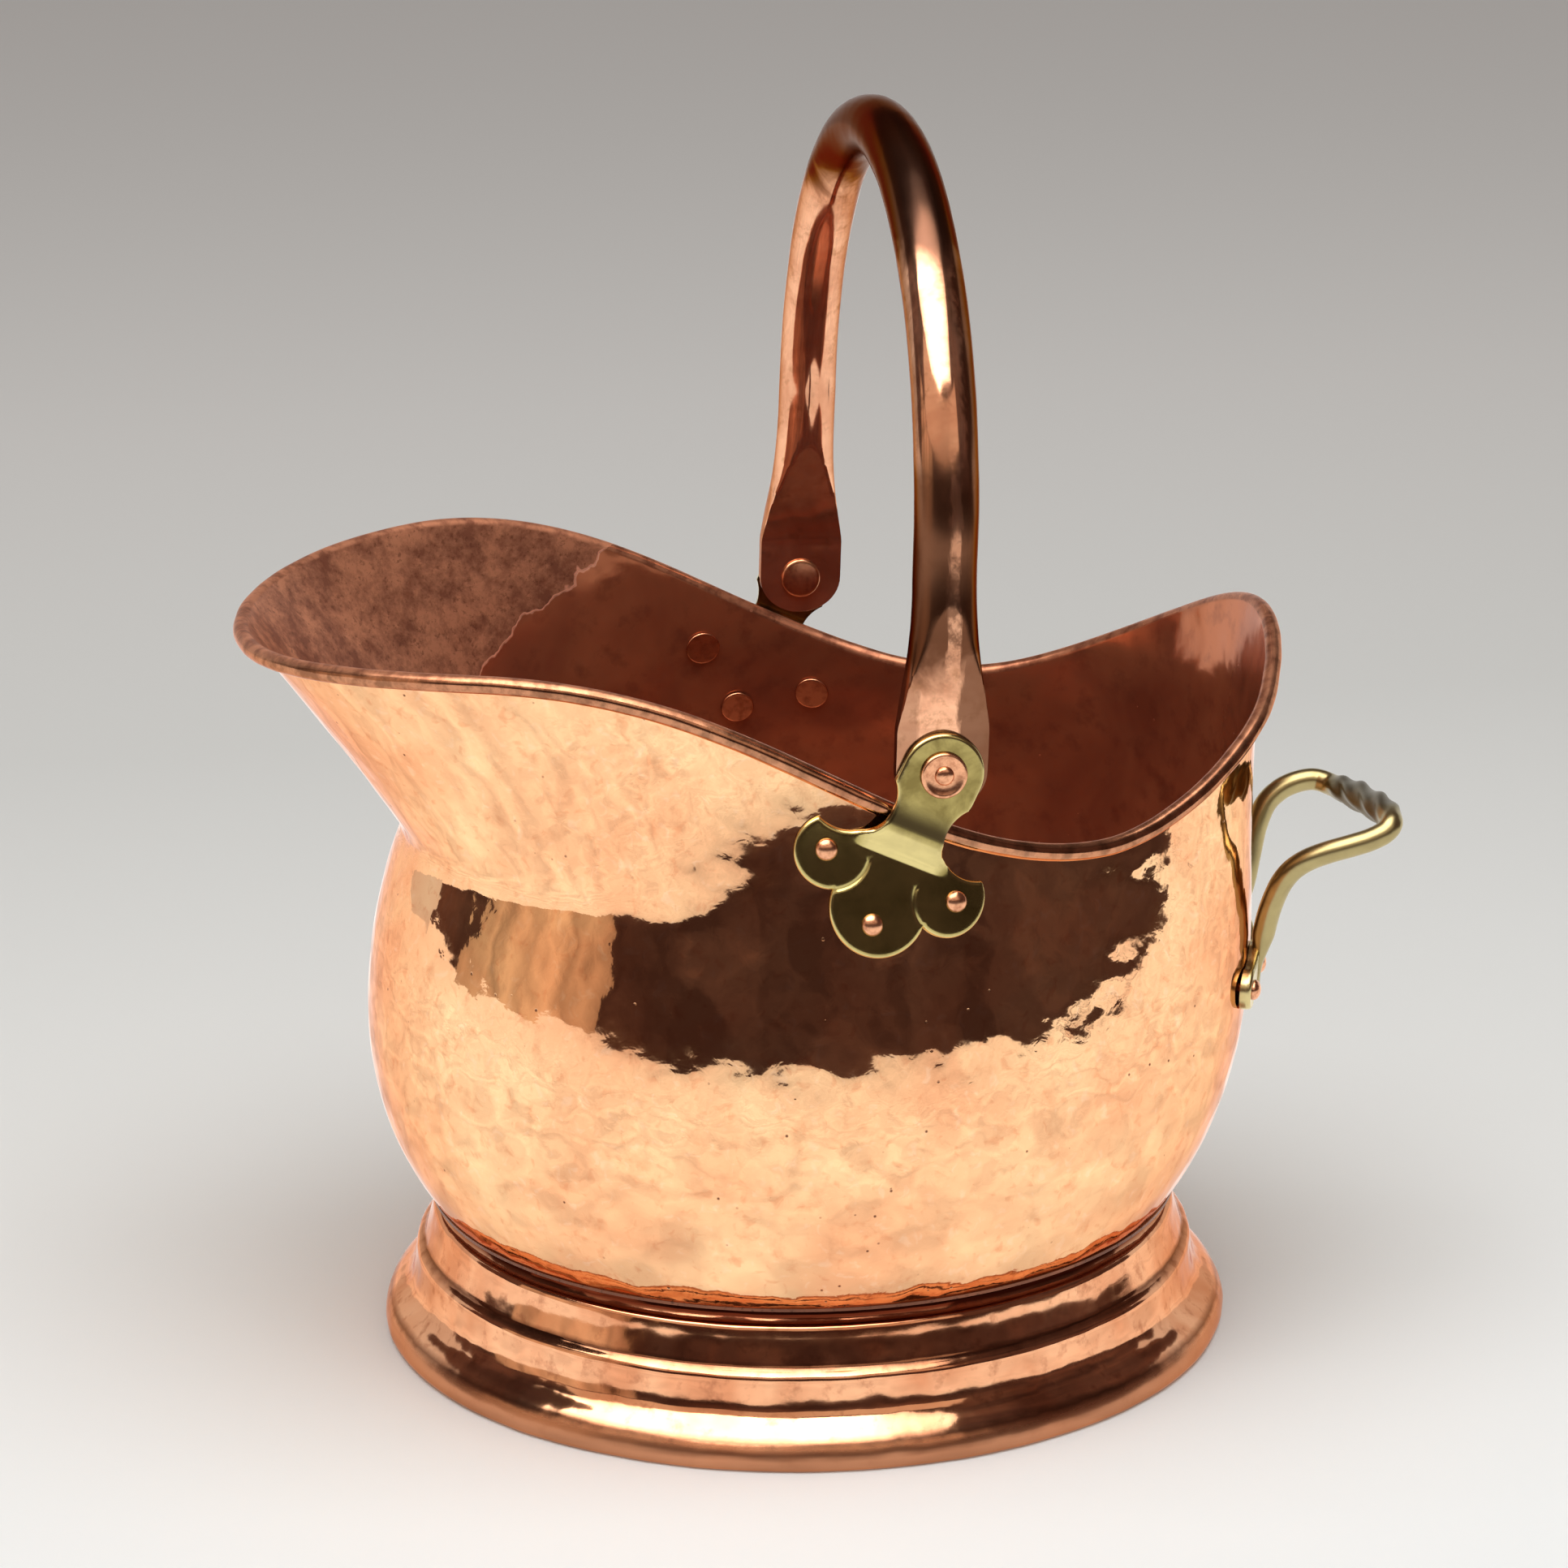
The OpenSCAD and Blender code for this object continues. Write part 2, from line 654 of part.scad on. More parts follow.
// Turned about the pivot's own axis, with heights measured outwards from the middle plane.
module about_pivot() {
    translate([-pivot_back, 0, pivot_z])
        rotate([-90, 0, 0])
            rotate_extrude()
                children();
}
washer_out = eye_out + washer_t;
module pivot_rivet() {
    color("#a9674a")
        about_pivot()
            polygon([[0, head_out - pivot_head_t], [pivot_head_d / 2 - 0.4, head_out - pivot_head_t],
                     [pivot_head_d / 2, head_out - pivot_head_t + 0.4],
                     [pivot_head_d / 2, head_out], [pivot_d / 2, head_out],
                     [pivot_d / 2, eye_out], [pip_r, eye_out + 0.2],
                     [pip_r, washer_out + pip_h * 0.4], [pip_r * 0.6, washer_out + pip_h * 0.85],
                     [0, washer_out + pip_h]]);
}
module pivot_washer() {
    edge = washer_d / 2;
    color("#c97c56")
        about_pivot()
            polygon([[pip_r + rivet_gap, eye_out + 0.3], [pivot_d / 2 + rivet_gap, eye_out + 0.1],
                     [edge, eye_out + 0.1], [edge, eye_out + washer_t * 0.6],
                     [edge - 1.2, washer_out], [pip_r + 2.2, washer_out],
                     [pip_r + 1, washer_out - 0.6], [pip_r + rivet_gap, washer_out - 0.6]]);
}
module pivot_rivet_left() {
    pivot_rivet();
}
module pivot_rivet_right() {
    mirror([0, 1, 0])
        pivot_rivet();
}
module pivot_washer_left() {
    pivot_washer();
}
module pivot_washer_right() {
    mirror([0, 1, 0])
        pivot_washer();
}

// The back handle in its own frame: s to its left, d out from the body's axis, z up.
pad_s = pad_spread / 2;
pad_d = sqrt(back_r * back_r - pad_s * pad_s);
// The hand-bent rod: to the left of a pad's middle or of the grip's, out and up.
left_leg = [
    [0, 2.2, -5], [0, 2.3, 0], [0, 2.7, 5], [0.5, 3.9, 11.5], [1, 4.7, 16], [2, 6, 22.5],
    [3, 7.8, 28.5], [4.5, 10, 34], [6, 13.4, 38.8], [7.5, 18.4, 42.6], [8.5, 24.8, 45.3],
    [9, 31.4, 47.3], [9, 38.2, 49.4], [8, 43.4, 51.8]
];
grip = [[32, 45.8, 54.2], [21, 45.4, 54.2], [11, 44.2, 53.2], [0, 42.4, 51.9], [-11, 40.4, 50.7],
        [-21, 38.3, 49.4], [-32, 35, 48]];
right_leg = [
    [-8.5, 30.9, 48.9], [-9, 26.9, 49.2], [-8.5, 21.4, 48.1], [-7.5, 16.4, 45.8], [-6, 11.8, 41.6],
    [-4, 8.6, 34.5], [-2.5, 6.8, 27], [-1, 5.2, 19.5], [-0.5, 4, 12], [0, 2.7, 5], [0, 2.3, 0],
    [0, 2.2, -5]
];
rod_points = [
    for (k = left_leg) [pad_s + k[0], k[1], k[2]],
    for (k = grip) k,
    for (k = right_leg) [k[0] - pad_s, k[1], k[2]]
];
// Smooth line through points, with parts steps from each point to the next.
function through(p, parts) =
    let (last = len(p) - 1)
    [for (i = [0:last - 1], n = [0:parts - 1])
        let (t = n / parts, a = p[max(0, i - 1)], b = p[i], c = p[i + 1], d = p[min(last, i + 2)])
        b + (c - a) * t / 2 + (2 * a - 5 * b + 4 * c - d) * t * t / 2
          + (3 * b - a - 3 * c + d) * t * t * t / 2,
     p[last]];
rod_parts = 3;
handle_path = [for (k = through(rod_points, rod_parts))
    [k[0], pad_d + k[1] * grip_reach / 40, pad_z + k[2] * grip_rise / 52]];
function path_way(p, i) = unit(p[min(len(p) - 1, i + 1)] - p[max(0, i - 1)]);
// How far along the twisted grip a station is, from 0 to 1.
function grip_share(i) =
    min(1, max(0, (i / rod_parts - len(left_leg)) / (len(grip) - 1)));
// How square the section is: the ends of the grip run out into the round rod.
function square_share(i) =
    let (g = grip_share(i)) min(1, 6 * g, 6 * (1 - g));
// The forged ends are flatter where they lie on the pads.
function end_share(i) = ease((min(i, len(handle_path) - 1 - i) - rod_parts) / 9);
handle_sides = 16;
function handle_section(i) =
    let (p = handle_path[i], way = path_way(handle_path, i),
         side = unit(cross([0, -1, 1.5], way)),
         up = cross(way, side), twist = grip_share(i) * 360 * grip_turns, q = square_share(i),
         flat = mix(0.35, 1, end_share(i)))
    [for (j = [0:handle_sides - 1])
        let (t = j * 360 / handle_sides,
             corner = grip_side / 2 / max(abs(cos(t)), abs(sin(t))),
             r = mix(rod_d / 2, min(corner, grip_side * 0.64), q),
             x = r * cos(t + twist), y = r * sin(t + twist))
        p + side * x * mix(1.3, 1, end_share(i)) + up * y * flat];
module rear_handle_rod() {
    rotate([0, 0, 90 - handle_turn])
        sweep([for (i = [0:len(handle_path) - 1]) handle_section(i)]);
}
module back_shell(t) {
    low = pad_z - 2 * pad_lobe_r;
    high = pad_z + 2 * pad_lobe_r;
    steps = 5;
    inner = [for (i = [0:steps])
        let (z = mix(low, high, i / steps)) [key_radius(back_keys, z) + lobe_gap, z]];
    rotate_extrude($fn = 96)
        polygon([each inner, for (i = [steps:-1:0]) inner[i] + [t, 0]]);
}
module pad(side) {
    a = pad_direction(side);
    intersection() {
        rotate([0, 0, a])
            translate([0, 0, pad_z])
                rotate([90, 0, 90])
                    linear_extrude(back_r + 20)
                        union() {
                            for (s = pad_rivet_places)
                                translate([s, 0])
                                    circle(pad_lobe_r);
                            polygon([[-pad_wing, -pad_lobe_r * 0.8], [pad_wing, -pad_lobe_r * 0.8],
                                     [pad_wing, pad_lobe_r * 0.6], [rod_d * 0.6, pad_lobe_r * 1.5],
                                     [-rod_d * 0.6, pad_lobe_r * 1.5],
                                     [-pad_wing, pad_lobe_r * 0.6]]);
                        }
        back_shell(pad_t);
    }
}
module rear_handle() {
    color("#b5a25a")
        difference() {
            union() {
                rear_handle_rod();
                for (side = [-1, 1])
                    pad(side);
            }
            for (side = [-1, 1])
                at_pad_rivets(side)
                    rivet_hole();
        }
}
// A pad bridges the wall where this falls away towards the side, so its rivets are longer there.
module rear_handle_rivets(side) {
    color("#cc8158")
        for (s = pad_rivet_places) {
            a = pad_rivet_turn(side, s);
            on_wall(a, pad_z)
                rivet(pad_t + key_radius(back_keys, pad_z) - wall_radius(a, pad_z));
        }
}
module rear_handle_rivets_left() {
    rear_handle_rivets(1);
}
module rear_handle_rivets_right() {
    rear_handle_rivets(-1);
}

body_sheet();
spout_sheet();
rim_wire();
bottom_plate();
foot_ring();
foot_wire();
bail_handle();
bracket_left();
bracket_right();
bracket_rivets_left();
bracket_rivets_right();
pivot_rivet_left();
pivot_rivet_right();
pivot_washer_left();
pivot_washer_right();
rear_handle();
rear_handle_rivets_left();
rear_handle_rivets_right();
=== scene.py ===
# Beaten copper coal scuttle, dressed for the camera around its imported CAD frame.
# Sizes are in millimetres until a mesh is made, then in metres.
import math
from functools import partial

import bmesh
import bpy
import numpy as np
from mathutils import Matrix, Vector
from mathutils.geometry import delaunay_2d_cdt


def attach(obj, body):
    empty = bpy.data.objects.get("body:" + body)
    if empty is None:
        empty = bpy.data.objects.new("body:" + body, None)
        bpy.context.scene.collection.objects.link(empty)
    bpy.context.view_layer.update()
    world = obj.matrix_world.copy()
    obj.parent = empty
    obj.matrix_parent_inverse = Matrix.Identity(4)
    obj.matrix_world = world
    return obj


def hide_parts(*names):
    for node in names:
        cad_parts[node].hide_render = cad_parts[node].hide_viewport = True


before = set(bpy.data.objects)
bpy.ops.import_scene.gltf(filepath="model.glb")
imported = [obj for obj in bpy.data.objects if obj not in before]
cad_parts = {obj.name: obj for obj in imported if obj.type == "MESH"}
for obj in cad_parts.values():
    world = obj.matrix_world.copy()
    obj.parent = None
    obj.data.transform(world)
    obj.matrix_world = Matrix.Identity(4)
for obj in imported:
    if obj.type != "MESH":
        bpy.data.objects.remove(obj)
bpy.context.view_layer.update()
scene = bpy.context.scene
scene.view_settings.view_transform = "Standard"
mm = 0.001
sheetAngle = 38  # degrees: faces of the sheet that meet more sharply keep their edge
print("frame loaded:", len(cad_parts), "nodes")

cameraView = {
    "place": (0.26825, 1.55783, 0.65531),
    "right": (-0.98537518, 0.17001617, -0.01141323),
    "up": (-0.05913724, -0.27839189, 0.95864526),
    "back": (0.15980785, 0.94530019, 0.28437475),
    "lens": 112.72, "sensor": 36, "clip": (0.05, 60),
}


def placeObject(name, data):
    piece = bpy.data.objects.new(name, data)
    scene.collection.objects.link(piece)
    return piece


def makeCamera():
    c = cameraView
    data = bpy.data.cameras.new("photoCamera")
    data.lens, data.sensor_width = c["lens"], c["sensor"]
    data.clip_start, data.clip_end = c["clip"]
    camera = placeObject("photoCamera", data)
    turn = Matrix([c["right"], c["up"], c["back"]]).transposed()
    camera.matrix_world = Matrix.Translation(c["place"]) @ turn.to_4x4()
    scene.camera = camera


makeCamera()
print("camera placed")


# Colours and nodes

def colour(code):
    # sRGB hex to linear
    parts = [int(code[i:i + 2], 16) / 255 for i in (1, 3, 5)]
    return (*[c / 12.92 if c <= 0.04045 else ((c + 0.055) / 1.055) ** 2.4 for c in parts], 1.0)


def addNode(tree, kind, inputs=(), out=0, stops=(), **settings):
    # One node with its settings. Inputs come in order or by name: a socket is linked, and a hex
    # colour is turned to linear. A ramp gets stops of (place, colour or grey).
    node = tree.nodes.new(kind)
    for key, value in settings.items():
        setattr(node, key, value)
    given = inputs if isinstance(inputs, dict) else dict(enumerate(inputs))
    for key, value in given.items():
        if isinstance(value, bpy.types.NodeSocket):
            tree.links.new(value, node.inputs[key])
        elif isinstance(value, str) and value.startswith("#"):
            node.inputs[key].default_value = colour(value)
        else:
            node.inputs[key].default_value = value
    if stops:
        bands = node.color_ramp.elements
        while len(bands) < len(stops):
            bands.new(0.5)
        for band, (place, tone) in zip(bands, stops):
            band.position = place
            band.color = colour(tone) if isinstance(tone, str) else (tone, tone, tone, 1)
    return node if out is None or not node.outputs else node.outputs[out]


def stain(add, under, over, where, *stops):
    # one tone over another, as far as a pattern goes through the stops of (place, share)
    share = add("ShaderNodeValToRGB", [where], stops=stops) if stops else where
    return add("ShaderNodeMix", {0: share, 6: under, 7: over}, out=2, data_type="RGBA")


def level(add, base, *shares):
    # a number with shares of patterns added to it, each (pattern, share)
    for pattern, share in shares:
        base = add("ShaderNodeMath", [pattern, share, base], operation="MULTIPLY_ADD")
    return base


def bumps(add, *layers):
    # heights with their distances in millimetres, coarsest first
    normal = None
    for height, distance in layers:
        inputs = {"Height": height, "Distance": distance * mm, "Strength": 1.0}
        if normal:
            inputs["Normal"] = normal
        normal = add("ShaderNodeBump", inputs)
    return normal


def emptyTree(block):
    # clears a material's or the world's nodes, and gives what adds to them
    block.use_nodes = True
    block.node_tree.nodes.clear()
    return partial(addNode, block.node_tree)


def newMaterial(name, finish):
    # a metal and its noises, each (blob in millimetres, detail, roughness, distortion)
    material = bpy.data.materials.new(name)
    add = emptyTree(material)
    shader = add("ShaderNodeBsdfPrincipled", {
        "Metallic": finish.get("metallic", 1.0),
        "Specular Tint": finish.get("grazing", "#FFFFFF")}, out=None)
    add("ShaderNodeOutputMaterial", [shader.outputs[0]])
    place = add("ShaderNodeTexCoord", out="Object")
    patterns = {}
    for key, (size, detail, rough, twist) in finish["patterns"].items():
        patterns[key] = add("ShaderNodeTexNoise", {
            "Vector": place, "Scale": 1 / (size * mm), "Detail": detail, "Roughness": rough,
            "Distortion": twist})
    return material, add, shader, place, patterns


def feed(shader, **sockets):
    for key, value in sockets.items():
        shader.id_data.links.new(value, shader.inputs[key.replace("_", " ")])


# Meshes

def makeObject(name, points, faces, attributes=None, smoothUnder=sheetAngle):
    mesh = bpy.data.meshes.new(name)
    mesh.from_pydata((np.asarray(points, float) * mm).tolist(), [], [list(f) for f in faces])
    for key, values in (attributes or {}).items():
        mesh.attributes.new(key, "FLOAT", "POINT").data.foreach_set(
            "value", np.asarray(values, np.float32))
    mesh.validate()
    mesh.shade_smooth()
    mesh.set_sharp_from_angle(angle=math.radians(smoothUnder))
    return placeObject(name, mesh)


def gridFaces(n, m, closedN=True, closedM=True):
    # four-sided faces over n rings of m points
    i, j = np.meshgrid(np.arange(n if closedN else n - 1), np.arange(m if closedM else m - 1),
                       indexing="ij")
    i, j = i.ravel(), j.ravel()
    k, l = (i + 1) % n, (j + 1) % m
    return np.stack([i * m + j, k * m + j, k * m + l, i * m + l], 1)


def capped(n, m):
    # the faces of an open tube of n rings of m points, and its two ends
    return [list(f) for f in gridFaces(n, m, closedN=False)] + [
        list(range(m))[::-1], list(range((n - 1) * m, n * m))]


def outwards(piece):
    # closed mesh, doubles merged, faces turned outwards
    work = bmesh.new()
    work.from_mesh(piece.data)
    bmesh.ops.remove_doubles(work, verts=work.verts, dist=1e-6)
    bmesh.ops.recalc_face_normals(work, faces=work.faces)
    work.to_mesh(piece.data)
    work.free()


def bake(piece, tree, values):
    # runs a geometry tree on the piece and keeps the plain mesh that it makes
    modifier = piece.modifiers.new(tree.name, "NODES")
    modifier.node_group = tree
    for socket in tree.interface.items_tree:
        if socket.item_type == "SOCKET" and socket.in_out == "INPUT" and socket.name in values:
            modifier[socket.identifier] = values[socket.name]
    seen = bpy.context.evaluated_depsgraph_get()
    mesh = bpy.data.meshes.new_from_object(piece.evaluated_get(seen), depsgraph=seen)
    piece.modifiers.remove(modifier)
    old, piece.data = piece.data, mesh
    bpy.data.meshes.remove(old)
    mesh.name = piece.name
    return piece


def newGeometryTree(name, sockets):
    tree = bpy.data.node_groups.new(name, "GeometryNodeTree")
    tree.interface.new_socket("Geometry", in_out="OUTPUT", socket_type="NodeSocketGeometry")
    tree.interface.new_socket("Geometry", in_out="INPUT", socket_type="NodeSocketGeometry")
    for key, (kind, value) in sockets.items():
        socket = tree.interface.new_socket(key, in_out="INPUT", socket_type="NodeSocket" + kind)
        if value is not None:
            socket.default_value = value
    add = partial(addNode, tree)
    return tree, add, add("NodeGroupInput", out=None).outputs


def closeTree(add, geometry, material):
    whole = add("GeometryNodeRealizeInstances", [geometry])
    painted = add("GeometryNodeSetMaterial", {"Geometry": whole, "Material": material})
    add("NodeGroupOutput", [painted])


def makeHammerTree():
    # Beaten sheet: slow lumps left by raising, small overlapping marks left by planishing.
    tree, add, get = newGeometryTree("hammerWork", {
        "lumpSize": ("Float", 0.05), "lumpDepth": ("Float", 0.0005),
        "markSize": ("Float", 0.012), "markDepth": ("Float", 0.0002),
        "radial": ("Float", 1.0), "seed": ("Float", 1.0), "finish": ("Material", None)})
    place, normal = add("GeometryNodeInputPosition"), add("GeometryNodeInputNormal")
    heights = []
    # each texture's name, its settings, its even level, and its one number of its own
    for kind, key, settings, even, own in (
            ("ShaderNodeTexNoise", "lump", {"noise_dimensions": "4D"}, 0.5, {"Detail": 1.5}),
            ("ShaderNodeTexVoronoi", "mark", {"feature": "SMOOTH_F1", "voronoi_dimensions": "4D"},
             0.45, {"Smoothness": 0.35})):
        finer = add("ShaderNodeMath", [1.0, get[key + "Size"]], operation="DIVIDE")
        texture = add(kind, {"Vector": place, "W": get["seed"], "Scale": finer, **own}, **settings)
        height = add("ShaderNodeMath", [texture, even], operation="SUBTRACT")
        depth = add("ShaderNodeMath", [get[key + "Depth"], 2.0], operation="MULTIPLY")
        heights.append(add("ShaderNodeMath", [height, depth], operation="MULTIPLY"))
    flat = add("ShaderNodeVectorMath", [place, (1, 1, 0)], operation="MULTIPLY")
    away = add("ShaderNodeVectorMath", [flat], operation="NORMALIZE")
    way = add("ShaderNodeMix", {0: get["radial"], 4: normal, 5: away}, out=1, data_type="VECTOR")
    shift = add("ShaderNodeVectorMath", {
        0: way, "Scale": add("ShaderNodeMath", heights, operation="ADD")}, operation="SCALE")
    moved = add("GeometryNodeSetPosition", {"Geometry": get["Geometry"], "Offset": shift})
    closeTree(add, moved, get["finish"])
    return tree


hammerWork = makeHammerTree()

# Shape of the body's wall and rim, by the same rules as the CAD part

wallForm = {
    "sheet": 1.0, "bead": 2.85, "wire": 1.7, "rollTurn": 305,
    # height, radius, slope below, slope above
    "front": [(49.5, 127, 0.75, 0.75), (112, 146.7, 0, 0), (179, 132.4, -0.45, 0.6),
              (249.5, 182, 0.75, 0.75)],
    "side": [(49.5, 127, 0.55, 0.55), (112, 141, 0, 0), (210, 123.6, -0.14, -0.14),
             (256, 120.5, -0.05, -0.05)],
    "back": [(49.5, 127, 0.7, 0.7), (150, 152, 0, 0), (198, 152, 0.02, 0.02),
             (239, 157, 0.1, 0.1)],
    "baseZ": 49.5, "creaseSoft": 4, "spoutFrom": 130, "spoutRise": 70, "spoutFocus": (3, 1.7),
    "spoutFlat": 0.4, "backFrom": 112, "backFull": 160,
    "cheekAt": 42, "dipAt": 126, "lipZ": 249.5, "cheekZ": 256, "dipZ": 191.5, "backRimZ": 239,
    "seamTopX": 48, "seamTopR": 125.6, "neckZ": 179, "neckR": 132.4,
    # degrees round the bead where the inner and the handled tone start, and over how many
    "innerTone": (25, 90), "handledTone": (-90, 60),
    "columns": 480, "outerRows": 88, "innerRows": 58, "hiddenRoll": 8, "roll": 22,
    "wireSteps": (2.0, 30),  # degrees round the rim, and round the wire
}


def ease(t):
    t = np.clip(t, 0, 1)
    return t * t * (3 - 2 * t)


def mix(a, b, t):
    return a + (b - a) * t


def keyRadius(keys, z):
    # smooth curve of radius over height through the keys
    z = np.asarray(z, float)
    out = np.zeros_like(z)
    for n, (a, b) in enumerate(zip(keys[:-1], keys[1:])):
        here = np.ones_like(z, bool)
        if n > 0:
            here &= z >= a[0]
        if n < len(keys) - 2:
            here &= z < b[0]
        length = b[0] - a[0]
        t = (z - a[0]) / length
        value = mix(a[1], b[1], t * t * (3 - 2 * t)) + length * (
            t * (1 - t) ** 2 * a[3] + t * t * (t - 1) * b[2])
        out = np.where(here, value, out)
    return out


def turnFromFront(a):
    return np.abs((np.asarray(a, float) + 180) % 360 - 180)


def wallRadius(a, z):
    # radius of the sheet's outer face at a degrees from the spout and height z
    w = wallForm
    t, s, soft = turnFromFront(a), keyRadius(w["side"], z), w["creaseSoft"]
    front = np.where(z < w["baseZ"] + soft, keyRadius(w["front"], z),
                     (keyRadius(w["front"], z - soft) + 2 * keyRadius(w["front"], z)
                      + keyRadius(w["front"], z + soft)) / 4)
    high = ease((z - w["spoutFrom"]) / w["spoutRise"])
    bend = np.radians(np.minimum(t, 90))
    share = np.maximum(np.cos(bend), 0) ** mix(*w["spoutFocus"], high)
    share = np.where(t < 90, share * (1 - w["spoutFlat"] * high * np.sin(bend) ** 2), 0)
    backShare = ease((t - w["backFrom"]) / (w["backFull"] - w["backFrom"]))
    return s + (front - s) * share + (keyRadius(w["back"], z) - s) * backShare


def wallPoint(a, z):
    r, turn = wallRadius(a, z), np.radians(a)
    return np.stack([r * np.cos(turn), r * np.sin(turn), z + 0 * r], -1)


def unit(v):
    return v / np.linalg.norm(v, axis=-1, keepdims=True)


def wallNormal(a, z):
    return unit(np.cross(wallPoint(a + 0.5, z) - wallPoint(a - 0.5, z),
                         wallPoint(a, z + 0.5) - wallPoint(a, z - 0.5)))


def rimHeight(a):
    w, t = wallForm, turnFromFront(a)
    return np.where(
        t < w["cheekAt"], mix(w["lipZ"], w["cheekZ"], ease(t / w["cheekAt"])),
        np.where(t < w["dipAt"],
                 mix(w["cheekZ"], w["dipZ"],
                     ease((t - w["cheekAt"]) / (w["dipAt"] - w["cheekAt"]))),
                 mix(w["dipZ"], w["backRimZ"], ease((t - w["dipAt"]) / (180 - w["dipAt"])))))


def rimPoint(a):
    return wallPoint(a, rimHeight(a))


def rollPoint(a, r, turn):
    # r and turn round the rim's wire, at direction a
    out = wallNormal(a, rimHeight(a))
    rise = np.cross(out, unit(rimPoint(a + 0.5) - rimPoint(a - 0.5)))
    middle = rimPoint(a) + out * (wallForm["bead"] - wallForm["sheet"])
    return middle + out * r * math.cos(turn) + rise * r * math.sin(turn)


def makeWall(finish):
    w = wallForm
    a = np.arange(w["columns"]) * 360 / w["columns"]
    top = rimHeight(a)
    columns, inside, rolled = [], [], []
    for i in range(w["outerRows"]):
        columns.append(wallPoint(a, mix(w["baseZ"], top, i / (w["outerRows"] - 1))))
        inside.append(0)
        rolled.append(0)
    for r, steps in ((w["bead"] - w["sheet"], range(1, w["hiddenRoll"] + 1)),
                     (w["bead"], range(w["roll"], 0, -1))):
        count = w["hiddenRoll"] if r < w["bead"] else w["roll"]
        for i in steps:
            turn = 180 - w["rollTurn"] * i / count
            columns.append(rollPoint(a, r, math.radians(turn)))
            inner, handled = [float(ease((turn - start) / over))
                              for start, over in (w["innerTone"], w["handledTone"])]
            inside.append(inner)
            rolled.append(handled if r == w["bead"] else 1)
    for i in range(w["innerRows"] - 1, -1, -1):
        z = mix(w["baseZ"], top, i / (w["innerRows"] - 1))
        n = wallNormal(a, z)
        if i == 0:
            n = unit(n * [1, 1, 0])
        columns.append(wallPoint(a, z) - n * w["sheet"])
        inside.append(1)
        rolled.append(0)
    points = np.stack(columns, 1)
    n, m = points.shape[:2]
    wall = makeObject("wall", points.reshape(-1, 3), gridFaces(n, m),
                      {"inside": np.tile(inside, n), "rolled": np.tile(rolled, n)})
    outwards(wall)
    return bake(wall, hammerWork, dict(beaten["body"], finish=finish))


def seamPlane():
    # from the rim's top on both sides down to the front of the neck
    w = wallForm
    topZ = float(rimHeight(math.degrees(math.acos(w["seamTopX"] / w["seamTopR"]))))
    slope = Vector((w["neckR"] - w["seamTopX"], 0, w["neckZ"] - topZ)).normalized()
    across = Vector((0, -1, 0)).cross(slope)
    if across.z < 0:
        across = -across
    point = Vector((w["seamTopX"], 0, topZ)) * mm
    return {"point": point, "normal": across, "offset": point.dot(across)}


seam = seamPlane()


def cutWall(wall, name, above):
    # one side of the slanting seam, closed where it was cut
    work = bmesh.new()
    work.from_mesh(wall.data)
    cut = bmesh.ops.bisect_plane(
        work, geom=work.verts[:] + work.edges[:] + work.faces[:], dist=1e-6,
        plane_co=seam["point"], plane_no=seam["normal"],
        clear_inner=above, clear_outer=not above)
    edges = [e for e in cut["geom_cut"] if isinstance(e, bmesh.types.BMEdge)]
    filled = bmesh.ops.holes_fill(work, edges=edges, sides=0)
    bmesh.ops.triangulate(work, faces=filled["faces"])
    mesh = bpy.data.meshes.new(name)
    work.to_mesh(mesh)
    work.free()
    mesh.materials.clear()
    mesh.materials.append(wall.data.materials[0])
    mesh.shade_smooth()
    mesh.set_sharp_from_angle(angle=math.radians(sheetAngle))
    return placeObject(name, mesh)


# Materials

# Raised and planished copper: polishing leaves a bright peach mirror outside, with faint stains
# and a few pits. Heat and soot brown the inside, and the spout's more than the body's. The rolled
# rim is handled, so it is darker. Past the polish the metal mirrors less white at its edges.
beatenFinish = {
    "patterns": {
        "patches": (45, 3, 0.55, 0.4), "blots": (9, 4, 0.6, 0), "marks": (4.5, 2, 0.5, 0.6),
        "fine": (1.6, 3, 0.6, 0), "pitted": (22, 1, 0.5, 0), "wander": (14, 3, 0.5, 0),
        "scorch": (16, 5, 0.75, 0.1), "specks": (2.2, 4, 0.7, 0), "handled": (5, 4, 0.6, 0),
        "lumps": (19, 1, 0.4, 0), "blows": (8, 1, 0.4, 0)},
    "polished": ("#FBCC9C", "#F1B285"), "blot": "#C98A62", "mark": "#E09468",
    "rubbed": "#FFD9B8", "pit": "#5A3022", "pitSpacing": 7, "grazing": "#EBCBBE",
    "bodyInside": ("#C67A54", "#A05A40"), "spoutInside": ("#D08E6C", "#8E5A45"),
    "speck": "#6E4232", "insideBlot": "#7C4634", "braze": "#FFB898",
    "brazeWander": 16, "spoutFade": 2.5, "brazeWide": 4,
    "rim": ("#B87C5E", "#7A4A37"), "rimShare": 0.85,
}


